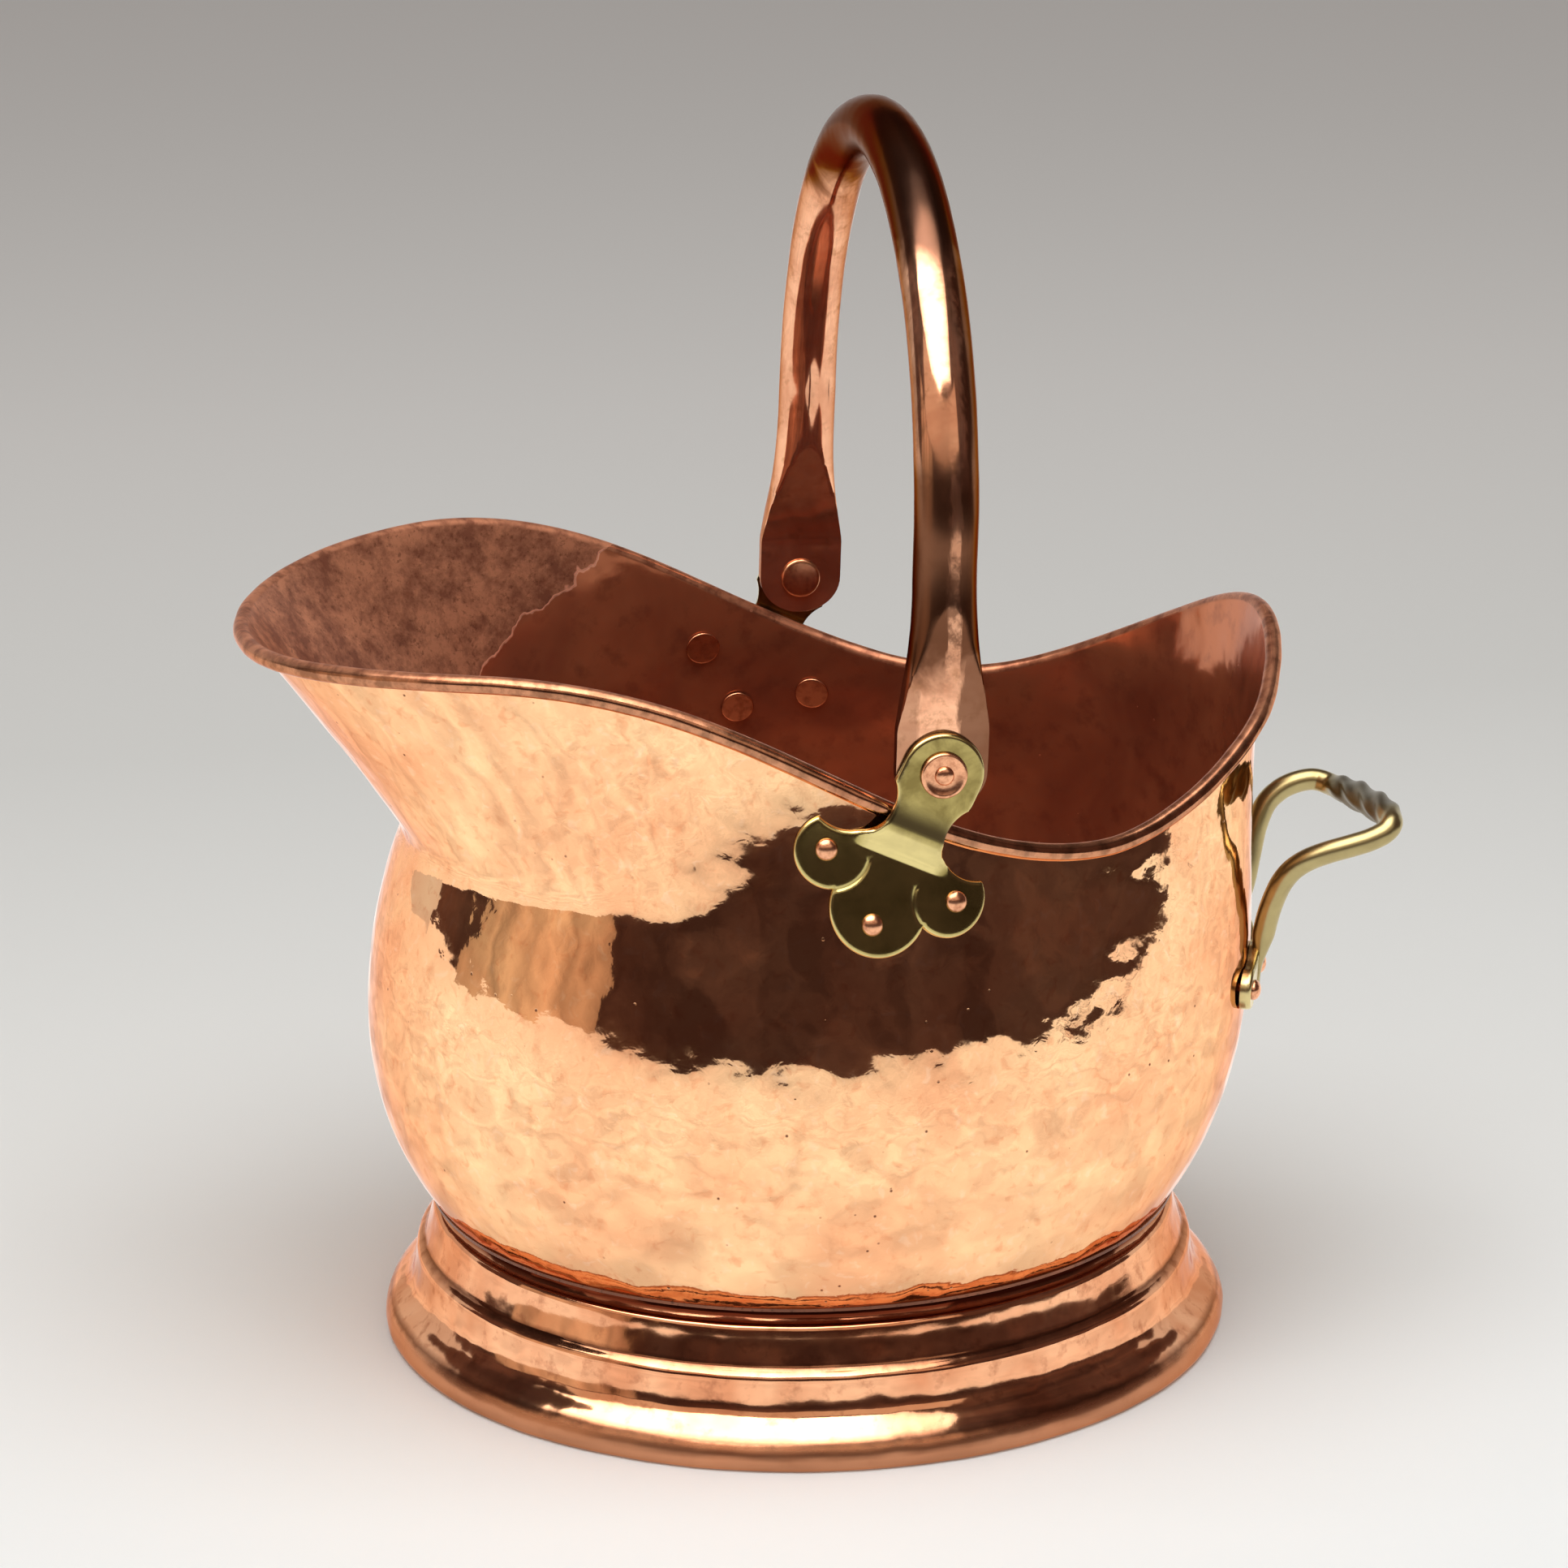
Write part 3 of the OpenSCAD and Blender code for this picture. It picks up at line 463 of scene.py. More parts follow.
def makeBeatenCopper():
    f = beatenFinish
    material, add, shader, place, p = newMaterial("beatenCopper", f)
    inside, rolled = [add("ShaderNodeAttribute", attribute_name=key, out="Fac")
                      for key in ("inside", "rolled")]
    cells = add("ShaderNodeTexVoronoi", {
        "Vector": place, "Scale": 1 / (f["pitSpacing"] * mm)}, distance="EUCLIDEAN")
    pit = add("ShaderNodeMath", [
        add("ShaderNodeValToRGB", [cells], stops=[(0.0, 1.0), (0.045, 0.8), (0.09, 0.0)]),
        add("ShaderNodeValToRGB", [p["pitted"]], stops=[(0.5, 0.0), (0.6, 1.0)])],
        operation="MULTIPLY")
    outer = stain(add, *f["polished"], p["patches"], (0.36, 0.0), (0.66, 1.0))
    outer = stain(add, outer, f["blot"], p["blots"], (0.56, 0.0), (0.75, 0.4))
    outer = stain(add, outer, f["mark"], p["marks"], (0.6, 0.0), (0.72, 0.4))
    outer = stain(add, outer, f["rubbed"], p["marks"], (0.28, 0.3), (0.4, 0.0))
    outer = stain(add, outer, f["pit"], pit)
    # how far a point is past the seam's plane, about which the braze wanders
    reach = add("ShaderNodeVectorMath", [place, tuple(seam["normal"])], out="Value",
                operation="DOT_PRODUCT")
    wander = f["brazeWander"] * mm
    past = level(add, -seam["offset"] - wander / 2, (reach, 1.0), (p["wander"], wander))
    spout = add("ShaderNodeValToRGB", [level(add, 0.5, (past, 1 / (f["spoutFade"] * mm)))],
                stops=[(0.3, 0.0), (0.7, 1.0)])
    aside = add("ShaderNodeMath", [past], operation="ABSOLUTE")
    body = stain(add, *f["bodyInside"], p["patches"], (0.35, 0.0), (0.68, 1.0))
    lip = stain(add, *f["spoutInside"], p["scorch"], (0.4, 0.0), (0.6, 1.0))
    lip = stain(add, lip, f["speck"], p["specks"], (0.56, 0.0), (0.66, 0.6))
    inner = stain(add, body, lip, spout)
    inner = stain(add, inner, f["insideBlot"], p["blots"], (0.52, 0.0), (0.72, 0.5))
    inner = stain(add, inner, f["braze"], level(add, 0.0, (aside, 1 / (f["brazeWide"] * mm))),
                  (0.06, 1.0), (0.16, 0.0))
    rim = stain(add, *f["rim"], p["handled"], (0.42, 0.0), (0.62, 1.0))
    tone = stain(add, stain(add, outer, inner, inside), rim,
                 level(add, 0.0, (rolled, f["rimShare"])))
    dull = level(add, 0.11, (spout, 0.22))
    feed(shader, Base_Color=tone, Metallic=level(add, 1.0, (inside, -0.45)),
         Roughness=level(add, 0.02, (p["patches"], 0.05), (inside, dull), (pit, 0.3),
                         (rolled, 0.12)),
         Normal=bumps(add, (p["lumps"], 0.5), (p["blows"], 0.15), (p["marks"], 0.03),
                      (p["blots"], 0.012), (p["fine"], 0.003),
                      (level(add, 1.0, (pit, -1.0)), 0.05)))
    return material


# Metals with one kind of stain, and what else wears or dulls them. Tones run from clean to
# stained between the stops. Gloss is the roughness and the stain's share in it. Real grain is
# about 0.3 mm, too fine for the picture, so the grit is drawn three to five times as coarse.
stainedMetals = {
    # cast brass ears: olive where polish never reaches, gold on the edges that hands rub
    "castBrass": {
        "patterns": {"stains": (12, 4, 0.6, 0.3), "grit": (1.1, 3, 0.6, 0)},
        "tones": ("#AD9F63", "#857745"), "stops": (0.4, 0.62), "gloss": (0.13, 0.12),
        "depths": (0.05, 0.01), "edge": "#EFE0A0", "tarnish": "#4C412A"},
    # drawn and forged brass of the back handle: greyer and less glossy than the ears
    "drawnBrass": {
        "patterns": {"stains": (12, 4, 0.6, 0.3), "grit": (1.1, 3, 0.6, 0)},
        "tones": ("#B5A774", "#94855A"), "stops": (0.4, 0.62), "gloss": (0.2, 0.12),
        "depths": (0.05, 0.01), "edge": "#E0CF98", "tarnish": "#4C412A"},
    # copper rivets closed by hand: bright heads with the hammer's small dull flats
    "rivetCopper": {
        "patterns": {"stains": (3, 4, 0.6, 0)}, "tones": ("#E9AC86", "#B5795A"),
        "stops": (0.45, 0.7), "gloss": (0.16, 0.15), "depths": (0.04,)},
    # the bottom plate, never polished: dull brown oxide with soot rubbed into it
    "sootedCopper": {
        "patterns": {"stains": (30, 4, 0.65, 0.8), "grit": (1.5, 4, 0.7, 0)},
        "tones": ("#8E5A43", "#6A4436"), "stops": (0.3, 0.7), "gloss": (0.3, 0.25),
        "depths": (0.15, 0.02), "soot": "#2E211C", "metallic": 0.7},
    # drawn iron wire: dull grey, browned by rust
    "drawnIronWire": {
        "patterns": {"stains": (4, 4, 0.6, 0)}, "tones": ("#5E5854", "#6B4636"),
        "stops": (0.45, 0.65), "gloss": (0.45, 0.2), "depths": (0.03,)},
}


def makeStainedMetal(name):
    f = stainedMetals[name]
    material, add, shader, _, p = newMaterial(name, f)
    start, end = f["stops"]
    tone = stain(add, *f["tones"], p["stains"], (start, 0.0), (end, 1.0))
    rough, share = f["gloss"]
    shares = [(p["stains"], share)]
    if "soot" in f:
        tone = stain(add, tone, f["soot"], p["grit"], (0.56, 0.0), (0.68, 0.7))
    if "edge" in f:
        edge, tarnish = [add("ShaderNodeAttribute", attribute_name=key, out="Fac")
                         for key in ("edge", "tarnish")]
        tone = stain(add, stain(add, tone, f["edge"], edge), f["tarnish"], tarnish)
        shares.append((tarnish, 0.14))
    feed(shader, Base_Color=tone, Roughness=level(add, rough, *shares),
         Normal=bumps(add, *zip(p.values(), f["depths"])))
    return material


beatenCopper = makeBeatenCopper()
metals = {name: makeStainedMetal(name) for name in stainedMetals}
print("materials made:", 1 + len(metals))

# hammer work of each piece, in metres as its tree takes it
beaten = {
    "body": {"lumpSize": 0.052, "lumpDepth": 0.00055, "markSize": 0.013, "markDepth": 0.00022,
             "radial": 1.0, "seed": 2.0},
    "foot": {"lumpSize": 0.045, "lumpDepth": 0.0007, "markSize": 0.012, "markDepth": 0.00018,
             "radial": 1.0, "seed": 5.0},
    "bail": {"lumpSize": 0.03, "lumpDepth": 0.00025, "markSize": 0.009, "markDepth": 0.00006,
             "radial": 0.0, "seed": 9.0},
}


def take(piece, body, slotName, *nodes):
    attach(piece, body)
    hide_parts(*nodes)


# Body and spout
wall = makeWall(beatenCopper)
bodyCopper = cutWall(wall, "bodyCopper", False)
spoutCopper = cutWall(wall, "spoutCopper", True)
bpy.data.objects.remove(wall)


def makeRimWire():
    # the iron wire that the rim is rolled over
    rimStep, wireStep = wallForm["wireSteps"]
    a = np.arange(0, 360, rimStep)
    turn = np.radians(np.arange(0, 360, wireStep))
    rings = np.stack([rollPoint(a, wallForm["wire"], t) for t in turn], 1)
    wire = makeObject("rimWire", rings.reshape(-1, 3), gridFaces(*rings.shape[:2]))
    outwards(wire)
    wire.data.materials.append(metals["drawnIronWire"])
    return wire


take(makeRimWire(), "scuttle", "iron_wire", "rim_wire")
take(bodyCopper, "scuttle", "copper_body", "body_sheet")
take(spoutCopper, "scuttle", "copper_body", "spout_sheet")
print("body and spout beaten:", len(bodyCopper.data.polygons), len(spoutCopper.data.polygons))

# Foot
footForm = {
    "waistR": 122.5, "flange": 6, "plateZ": 48.5, "bandR": 127, "bandTop": 42.5, "grooveZ": 30,
    "grooveDepth": 2.2, "beadAt": 141.2, "bead": 3.2, "wear": 0.3, "sheet": 1.0,
    "columns": 480, "perSpan": 3,
}

# Spun from the same copper: a mirror in even rings, duller down the flare, with painted shade:
# dark brown lines in the groove and just above the bead, and in the crease under the body.
footFinish = {
    "patterns": {
        "patches": (35, 3, 0.6, 0.5), "blots": (6, 4, 0.6, 0), "lumps": (17, 1, 0.4, 0),
        "blows": (8, 1, 0.4, 0), "fine": (1.2, 3, 0.6, 0)},
    "polished": ("#F0B48B", "#D8936C"), "blot": "#A8694B", "flare": "#B97D5C",
    # the first two tones on the next line are painted shade for the creases
    "creaseShade": "#6B4231", "waist": "#7A3A26", "grazing": "#E6C2B2",
    "high": 50,  # the stops are shares of this height
    "flareStops": [(0.0, 1.0), (0.14, 0.8), (0.22, 0.0)],
    # painted shade: dark brown lines in the groove and just above the bead
    "creaseShadeStops": [(0.17, 0.0), (0.2, 0.75), (0.235, 0.0), (0.58, 0.0), (0.62, 0.9),
                    (0.655, 0.0)],
    # painted shade in the crease where the foot tucks under the body
    "underBodyShadeStops": [(0.86, 0.0), (0.9, 1.0)],
}


def makeSpunCopper():
    f = footFinish
    material, add, shader, place, p = newMaterial("spunFootCopper", f)
    height = level(add, 0.0, (add("ShaderNodeSeparateXYZ", [place], out=2), 1 / (f["high"] * mm)))
    flare = add("ShaderNodeValToRGB", [height], stops=f["flareStops"])
    ragged = level(add, height, (p["blots"], 0.032))
    tone = stain(add, *f["polished"], p["patches"], (0.4, 0.0), (0.65, 1.0))
    tone = stain(add, tone, f["blot"], p["blots"], (0.55, 0.0), (0.72, 0.6))
    tone = stain(add, tone, f["flare"], flare)
    # painted shade in the groove and in a crease line just above the bead
    tone = stain(add, tone, f["creaseShade"], ragged, *f["creaseShadeStops"])
    # painted shade where the foot tucks under the body
    tone = stain(add, tone, f["waist"], height, *f["underBodyShadeStops"])
    feed(shader, Base_Color=tone,
         Roughness=level(add, 0.05, (p["blots"], 0.1), (flare, 0.24)),
         Normal=bumps(add, (p["lumps"], 0.5), (p["blows"], 0.16), (p["fine"], 0.008)))
    return material


def smoothLine(points, parts):
    # Catmull-Rom through the points, ends kept
    p = np.asarray(points, float)
    out = []
    for i in range(len(p) - 1):
        a, b, c, d = p[max(0, i - 1)], p[i], p[i + 1], p[min(len(p) - 1, i + 2)]
        for n in range(parts):
            t = n / parts
            out.append(b + (c - a) * t / 2 + (2 * a - 5 * b + 4 * c - d) * t * t / 2
                       + (3 * b - a - 3 * c + d) * t ** 3 / 2)
    out.append(p[-1])
    return np.array(out)


def footProfile():
    # radius and height, from the flange down over both bands to the bead and round its wire
    f = footForm
    base, beadZ = f["bandR"], f["bead"] - f["wear"]
    waist, plate, groove, bead = f["waistR"], f["plateZ"], f["grooveZ"], f["beadAt"]
    line = [
        (waist - f["flange"], plate), (waist - 1, plate), (waist, plate - 1.2),
        (waist + 0.5, plate - 3), (waist + 2, mix(plate - 3, f["bandTop"], 0.7)),
        (base - 0.5, f["bandTop"]), (base + 0.6, mix(f["bandTop"], groove, 0.4)),
        (base + 2.2, groove + 2.4), (base + 5.4 - f["grooveDepth"], groove),
        (base + 5.6, groove - 2), (base + 6.1, groove - 5.5), (base + 6.7, groove - 9.5),
        (base + 7.7, groove - 13), (bead - 4.4, beadZ + 11.2), (bead - 1.5, beadZ + 8.9),
        (bead + 1.1, beadZ + 6.2), (bead + 2.6, beadZ + 3.3), (bead + 3.15, beadZ + 0.7)]
    roll = [(bead + f["bead"] * math.cos(math.radians(t)),
             beadZ + f["bead"] * math.sin(math.radians(t))) for t in range(-12, -211, -12)]
    outer = np.vstack([smoothLine(line, f["perSpan"]), roll])
    way = np.gradient(outer, axis=0)
    side = unit(np.stack([way[:, 1], -way[:, 0]], -1))
    return outer, outer + side * f["sheet"]


def makeFoot():
    f = footForm
    outer, inner = footProfile()
    outer[:, 1] = np.maximum(outer[:, 1], 0.0)
    inner[:, 1] = np.maximum(inner[:, 1], 0.05)
    ring = np.vstack([outer, inner[::-1]])
    turn = np.arange(f["columns"]) * 2 * math.pi / f["columns"]
    points = np.stack([np.outer(np.cos(turn), ring[:, 0]), np.outer(np.sin(turn), ring[:, 0]),
                       np.tile(ring[:, 1], (f["columns"], 1))], -1)
    foot = makeObject("footRing", points.reshape(-1, 3), gridFaces(*points.shape[:2]))
    outwards(foot)
    return bake(foot, hammerWork, dict(beaten["foot"], finish=makeSpunCopper()))


footRing = makeFoot()
take(footRing, "scuttle", "copper_foot", "foot_ring")
print("foot spun:", len(footRing.data.polygons))

# Bail
bailForm = {
    "pivot": (-23.0, 226.0), "lean": 2.2, "tube": 20, "rise": 180, "legRise": 70, "legLean": 5,
    "paddleWide": 29, "paddleThick": 4.5, "tail": 12.5, "flat": 17, "tubeFrom": 44,
    "taperFrom": 14, "taper": 46, "paddleMid": 126.466, "bore": 8.4, "facetTop": 52,
    "paddleSquare": 0.55, "cornerTurn": 74,
    "arcPoints": 11, "facePoints": 13, "archSteps": 130, "ringSteps": (1.8, 1.3, 3),
}

# Copper tube handled for years: a brown skin on top, a brown band and painted shade on its flanks
# down the near leg as seen from the front, with bright streaks where it has been rubbed through.
bailFinish = {
    "patterns": {"patches": (26, 4, 0.65, 0.6), "worn": (7, 5, 0.7, 0), "lumps": (14, 1, 0.5, 0)},
    "polished": ("#F2B894", "#D89A78"), "worn": "#B9835F", "tarnishAndShade": "#6A4430", "top": "#66483A",
    "grazing": "#B09284", "streak": 3.2, "streakDrawn": 0.14, "streakShift": 0.35,
    # heights are shares of 500 mm, and places across a leg are shares of the tube
    "high": 500,
    "legStops": [(0.53, 0.0), (0.56, 1.0), (0.66, 0.9), (0.70, 0.0)],
    "topStops": [(0.775, 0.0), (0.80, 0.9)],
    # painted shade: brown on the near leg's left and right flanks as seen from the front
    "flankShadeStops": [(0.04, 0.45), (0.13, 0.0), (0.66, 0.0), (0.76, 0.85)],
    "rubbedStops": [(0.44, 0.0), (0.49, 0.75), (0.62, 0.75), (0.67, 0.0)],
}


def makeBailCopper():
    f, b = bailFinish, bailForm
    material, add, shader, place, p = newMaterial("handledCopperTube", f)
    drawn = add("ShaderNodeVectorMath", [place, (1, 1, f["streakDrawn"])], operation="MULTIPLY")
    streaks = add("ShaderNodeTexNoise", {
        "Vector": drawn, "Scale": 1 / (f["streak"] * mm), "Detail": 4, "Roughness": 0.7,
        "Distortion": 0.3})
    x, y, z = add("ShaderNodeSeparateXYZ", [place], out=None).outputs
    height = level(add, 0.0, (z, 1 / (f["high"] * mm)), (p["patches"], 0.06))
    legs = add("ShaderNodeValToRGB", [height], stops=f["legStops"])
    top = add("ShaderNodeValToRGB", [height], stops=f["topStops"])
    # across a leg, 0 at its left and 1 at its right as seen from +Y, along the bail's lean
    perTube, slope = 1 / (b["tube"] * mm), math.tan(math.radians(b["lean"]))
    middle = 0.5 + perTube * mm * (b["pivot"][0] + slope * b["pivot"][1])
    across = level(add, middle - f["streakShift"] / 2, (x, -perTube), (z, -perTube * slope),
                   (streaks, f["streakShift"]))
    # painted shade: the near leg's flanks, as seen from the front, are painted brown
    flankShade = add("ShaderNodeValToRGB", [across], stops=f["flankShadeStops"])
    rubbed = add("ShaderNodeMath", [
        add("ShaderNodeValToRGB", [across], stops=f["rubbedStops"]),
        add("ShaderNodeValToRGB", [p["worn"]], stops=[(0.4, 0.2), (0.56, 1.0)])],
        operation="MULTIPLY")
    legs = add("ShaderNodeMath", [legs, level(add, 1.0, (rubbed, -1.0))], operation="MULTIPLY")
    # brown tarnish on the leg band, and painted shade on the flanks
    tarnishAndShade = add("ShaderNodeMath", [legs, flankShade], operation="MAXIMUM")
    # only the leg toward +Y, the camera's side, gets the brown band and the painted flank shade
    nearLeg = add("ShaderNodeValToRGB", [level(add, 0.0, (y, 10.0))],
                  stops=[(0.6, 0.0), (0.95, 1.0)])
    tarnishAndShade = add("ShaderNodeMath", [nearLeg, tarnishAndShade], operation="MULTIPLY")
    tarnishAndShade = add("ShaderNodeMath", [tarnishAndShade, top], operation="MAXIMUM")
    tone = stain(add, *f["polished"], p["patches"], (0.4, 0.0), (0.6, 1.0))
    tone = stain(add, tone, f["worn"], p["worn"], (0.54, 0.0), (0.66, 0.6))
    tone = stain(add, stain(add, tone, f["tarnishAndShade"], tarnishAndShade), f["top"], top)
    feed(shader, Base_Color=tone, Metallic=level(add, 0.92, (tarnishAndShade, 0.08)),
         Roughness=level(add, 0.05, (p["worn"], 0.08), (tarnishAndShade, 0.14)),
         Normal=bumps(add, (p["lumps"], 0.12), (p["worn"], 0.012)))
    return material


def makeBail():
    b = bailForm
    halfArch = b["paddleMid"] - b["legLean"]
    archRise = b["rise"] - b["legRise"]
    # heights of a leg's rings: round the tail, up the paddle, over the taper and up the tube
    paddleStep, taperStep, tubeStep = b["ringSteps"]
    taperTop = b["taperFrom"] + b["taper"]
    levels = [-b["tail"] * math.sin(t) for t in np.linspace(math.pi / 2, 0.12, 12)]
    levels += list(np.arange(0.5, b["flat"], paddleStep))
    levels += list(np.arange(b["flat"], taperTop, taperStep))
    levels += list(np.arange(taperTop + 1, b["legRise"] - 1, tubeStep))

    def legY(s):
        return halfArch + b["legLean"] * (1 - ease((s - b["flat"]) / (b["legRise"] - b["flat"])))

    stations = []  # place and way on the leg, half width, how round, height
    for s in levels:
        if s < 0:  # round, and a little blunt at its end
            half = b["paddleWide"] / 2 * math.sqrt(max(0.02, 1 - (s / b["tail"]) ** 2 * 0.98))
        else:
            narrowed = 1 - np.clip((s - b["taperFrom"]) / b["taper"], 0, 1)
            half = mix(b["tube"], b["paddleWide"], narrowed ** 2) / 2
        rounded = ease((s - 2 - b["flat"]) / (b["tubeFrom"] - b["flat"]))
        square = mix(b["paddleSquare"], 1, rounded)
        slope = (legY(s + 0.1) - legY(s - 0.1)) / 0.2
        way = np.array([slope, 1.0]) if s > b["tubeFrom"] else np.array([0, 1.0])
        stations.append((np.array([legY(s), s]), unit(way), half, square, s))
    arch = []
    for i in range(b["archSteps"] + 1):
        t = math.pi * i / b["archSteps"]
        arch.append((np.array([halfArch * math.cos(t), b["legRise"] + archRise * math.sin(t)]),
                     unit(np.array([-halfArch * math.sin(t), archRise * math.cos(t)])),
                     b["tube"] / 2, 1.0, b["legRise"]))
    right = [(np.array([-p[0], p[1]]), np.array([w[0], -w[1]]), h, q, s)
             for p, w, h, q, s in reversed(stations)]
    rings = []
    for p, way, half, square, s in stations + arch + right:
        limit = b["tube"] / 2
        if s < b["facetTop"]:  # hammered flat from the tube down to the paddle
            low = b["flat"] - 3
            limit = mix(b["paddleThick"] / 2, limit, max(0.0, (s - low) / (b["facetTop"] - low)))
        corner = min(math.asin(limit / (b["tube"] / 2)), math.radians(b["cornerTurn"]))
        arc = np.linspace(-corner, corner, b["arcPoints"])
        edgeX = half * np.cos(arc) ** square
        edgeY = b["tube"] / 2 * np.sign(np.sin(arc)) * np.abs(np.sin(arc)) ** square
        edgeY = np.clip(edgeY, -limit, limit)
        face = np.linspace(edgeX[-1], -edgeX[-1], b["facePoints"] + 2)[1:-1]
        faceY = np.minimum(limit, b["tube"] / 2 * np.sqrt(np.maximum(0, 1 - (face / half) ** 2)))
        x = np.concatenate([edgeX, face, -edgeX[::-1], -face])
        y = np.concatenate([edgeY, faceY, edgeY[::-1], -faceY])
        out = np.array([0, way[1], -way[0]])
        rings.append(np.array([0, p[0], p[1]]) + np.outer(x, [1, 0, 0]) + np.outer(y, out))
    lean = math.radians(-b["lean"])
    points = np.vstack(rings)
    x, z = points[:, 0].copy(), points[:, 2].copy()
    points[:, 0] = x * math.cos(lean) + z * math.sin(lean) + b["pivot"][0]
    points[:, 2] = z * math.cos(lean) - x * math.sin(lean) + b["pivot"][1]
    n, m = len(rings), 2 * (b["arcPoints"] + b["facePoints"])
    bail = makeObject("bailTube", points, capped(n, m), smoothUnder=50)
    outwards(bail)
    work = bmesh.new()  # the pivots' bores
    for side in (-1, 1):
        turned = Matrix.Translation(Vector((b["pivot"][0], side * b["paddleMid"], b["pivot"][1]))
                                    * mm) @ Matrix.Rotation(math.pi / 2, 4, "X")
        bmesh.ops.create_cone(work, cap_ends=True, segments=40, radius1=b["bore"] / 2 * mm,
                              radius2=b["bore"] / 2 * mm, depth=20 * mm, matrix=turned)
    cutterMesh = bpy.data.meshes.new("borer")
    work.to_mesh(cutterMesh)
    work.free()
    borer = placeObject("borer", cutterMesh)
    cut = bail.modifiers.new("bores", "BOOLEAN")
    cut.operation, cut.solver, cut.object = "DIFFERENCE", "EXACT", borer
    bake(bail, hammerWork, dict(beaten["bail"], finish=makeBailCopper()))
    bail.modifiers.clear()
    bpy.data.objects.remove(borer)
    return bail


bailTube = makeBail()
take(bailTube, "bail", "copper_bail", "bail_handle")
print("bail bent:", len(bailTube.data.polygons))

# Brackets
bracketForm = {
    "thick": 2.4, "eyeR": 13.1, "lean": 25.8, "neckHalf": 9.5,
    "scoopR": 13, "scoopRise": 20.3, "scoopTurn": 43.7,
    "lobeU": 22.2, "lobeV": 36.83, "lobeR": 11.8, "lobeIn": 2, "toeV": 47.03, "toeR": 15.5,
    "rivetToeV": 52.73, "stepTop": -21.28, "stepRun": 10, "eyeIn": 129.016,
    "lobeGap": 0.2, "lobeOpen": 5, "edgeRound": 1.35,
    "grooveDeep": 0.4, "grooveWide": 0.5, "grooveTurns": (75, 62),
    # the mesh: its step and reach, rings inside the edge, lines beside a groove
    "meshStep": 0.8, "meshAcross": (-34, 34), "meshUp": (-64, 15),
    "edgeRings": (0.16, 0.42, 0.85), "grooveLines": (-1.15, -0.62, -0.3, 0, 0.3, 0.62, 1.15),
    # share of polish rubbed off to bright metal
    "edgeWear": 0.7, "stepWear": 0.6, "grooveWear": 0.3,
}


def arcPoints(middle, r, start, end, step=0.5):
    # degrees, in the direction from start to end
    count = max(2, int(abs(math.radians(end - start)) * r / step))
    t = np.radians(np.linspace(start, end, count))
    return np.stack([middle[0] + r * np.cos(t), middle[1] + r * np.sin(t)], -1)


def crossing(c1, r1, c2, r2, pickRight):
    # where two circles meet, to the right or at the bottom
    c1, c2 = np.asarray(c1, float), np.asarray(c2, float)
    d = np.linalg.norm(c2 - c1)
    along = (r1 * r1 - r2 * r2 + d * d) / (2 * d)
    half = math.sqrt(max(0.0, r1 * r1 - along * along))
    w = (c2 - c1) / d
    both = [c1 + w * along + np.array([-w[1], w[0]]) * half * k for k in (1, -1)]
    return max(both, key=lambda p: p[0]) if pickRight else min(both, key=lambda p: p[1])


def bearing(middle, p):
    return math.degrees(math.atan2(p[1] - middle[1], p[0] - middle[0]))


def bracketOutline():
    # across and up from the eye's middle, with a lobe's middle and the cusp beside the toe
    b = bracketForm
    lobe = np.array([b["lobeU"] - b["lobeIn"], -b["lobeV"]])
    scoop = np.array([b["neckHalf"] + b["scoopR"], -b["lobeV"] + b["scoopRise"]])
    toe = np.array([0.0, -b["toeV"]])
    horn = crossing(scoop, b["scoopR"], lobe, b["lobeR"], True)
    cusp = crossing(lobe, b["lobeR"], toe, b["toeR"], False)
    turn = math.radians(b["scoopTurn"])
    fromEye = scoop + [-b["scoopR"] * math.cos(turn), b["scoopR"] * math.sin(turn)]
    right = np.vstack([
        arcPoints((0, 0), b["eyeR"], 90, 0),
        [[b["eyeR"], fromEye[1] * k] for k in (0.25, 0.5, 0.75)],
        arcPoints(scoop, b["scoopR"], 180 - b["scoopTurn"], bearing(scoop, horn) % 360),
        arcPoints(lobe, b["lobeR"], bearing(lobe, horn), bearing(lobe, cusp))[1:],
        arcPoints(toe, b["toeR"], bearing(toe, cusp), -90)[1:]])
    left = right[-2:0:-1] * [-1, 1]
    return np.vstack([right, left]), lobe, cusp


def distanceTo(points, line, closed=True):
    # from each point to the nearest part of the line
    a = line if closed else line[:-1]
    b = np.roll(line, -1, 0) if closed else line[1:]
    best = np.full(len(points), 1e9)
    for s, e in zip(a, b):
        w = e - s
        t = np.clip(((points - s) @ w) / max(1e-12, w @ w), 0, 1)
        best = np.minimum(best, np.linalg.norm(points - s - t[:, None] * w, axis=1))
    return best


def insideOf(points, line):
    x, y = points[:, 0], points[:, 1]
    hit = np.zeros(len(points), bool)
    for (x1, y1), (x2, y2) in zip(line, np.roll(line, -1, 0)):
        if y1 != y2:
            hit ^= ((y1 > y) != (y2 > y)) & (x < (x2 - x1) * (y - y1) / (y2 - y1) + x1)
    return hit


def leaning(u, v):
    # x and z of a place on the leaning bracket
    lean, (pivotX, pivotZ) = math.radians(bracketForm["lean"]), bailForm["pivot"]
    return (pivotX + u * math.cos(lean) - v * math.sin(lean),
            pivotZ + u * math.sin(lean) + v * math.cos(lean))


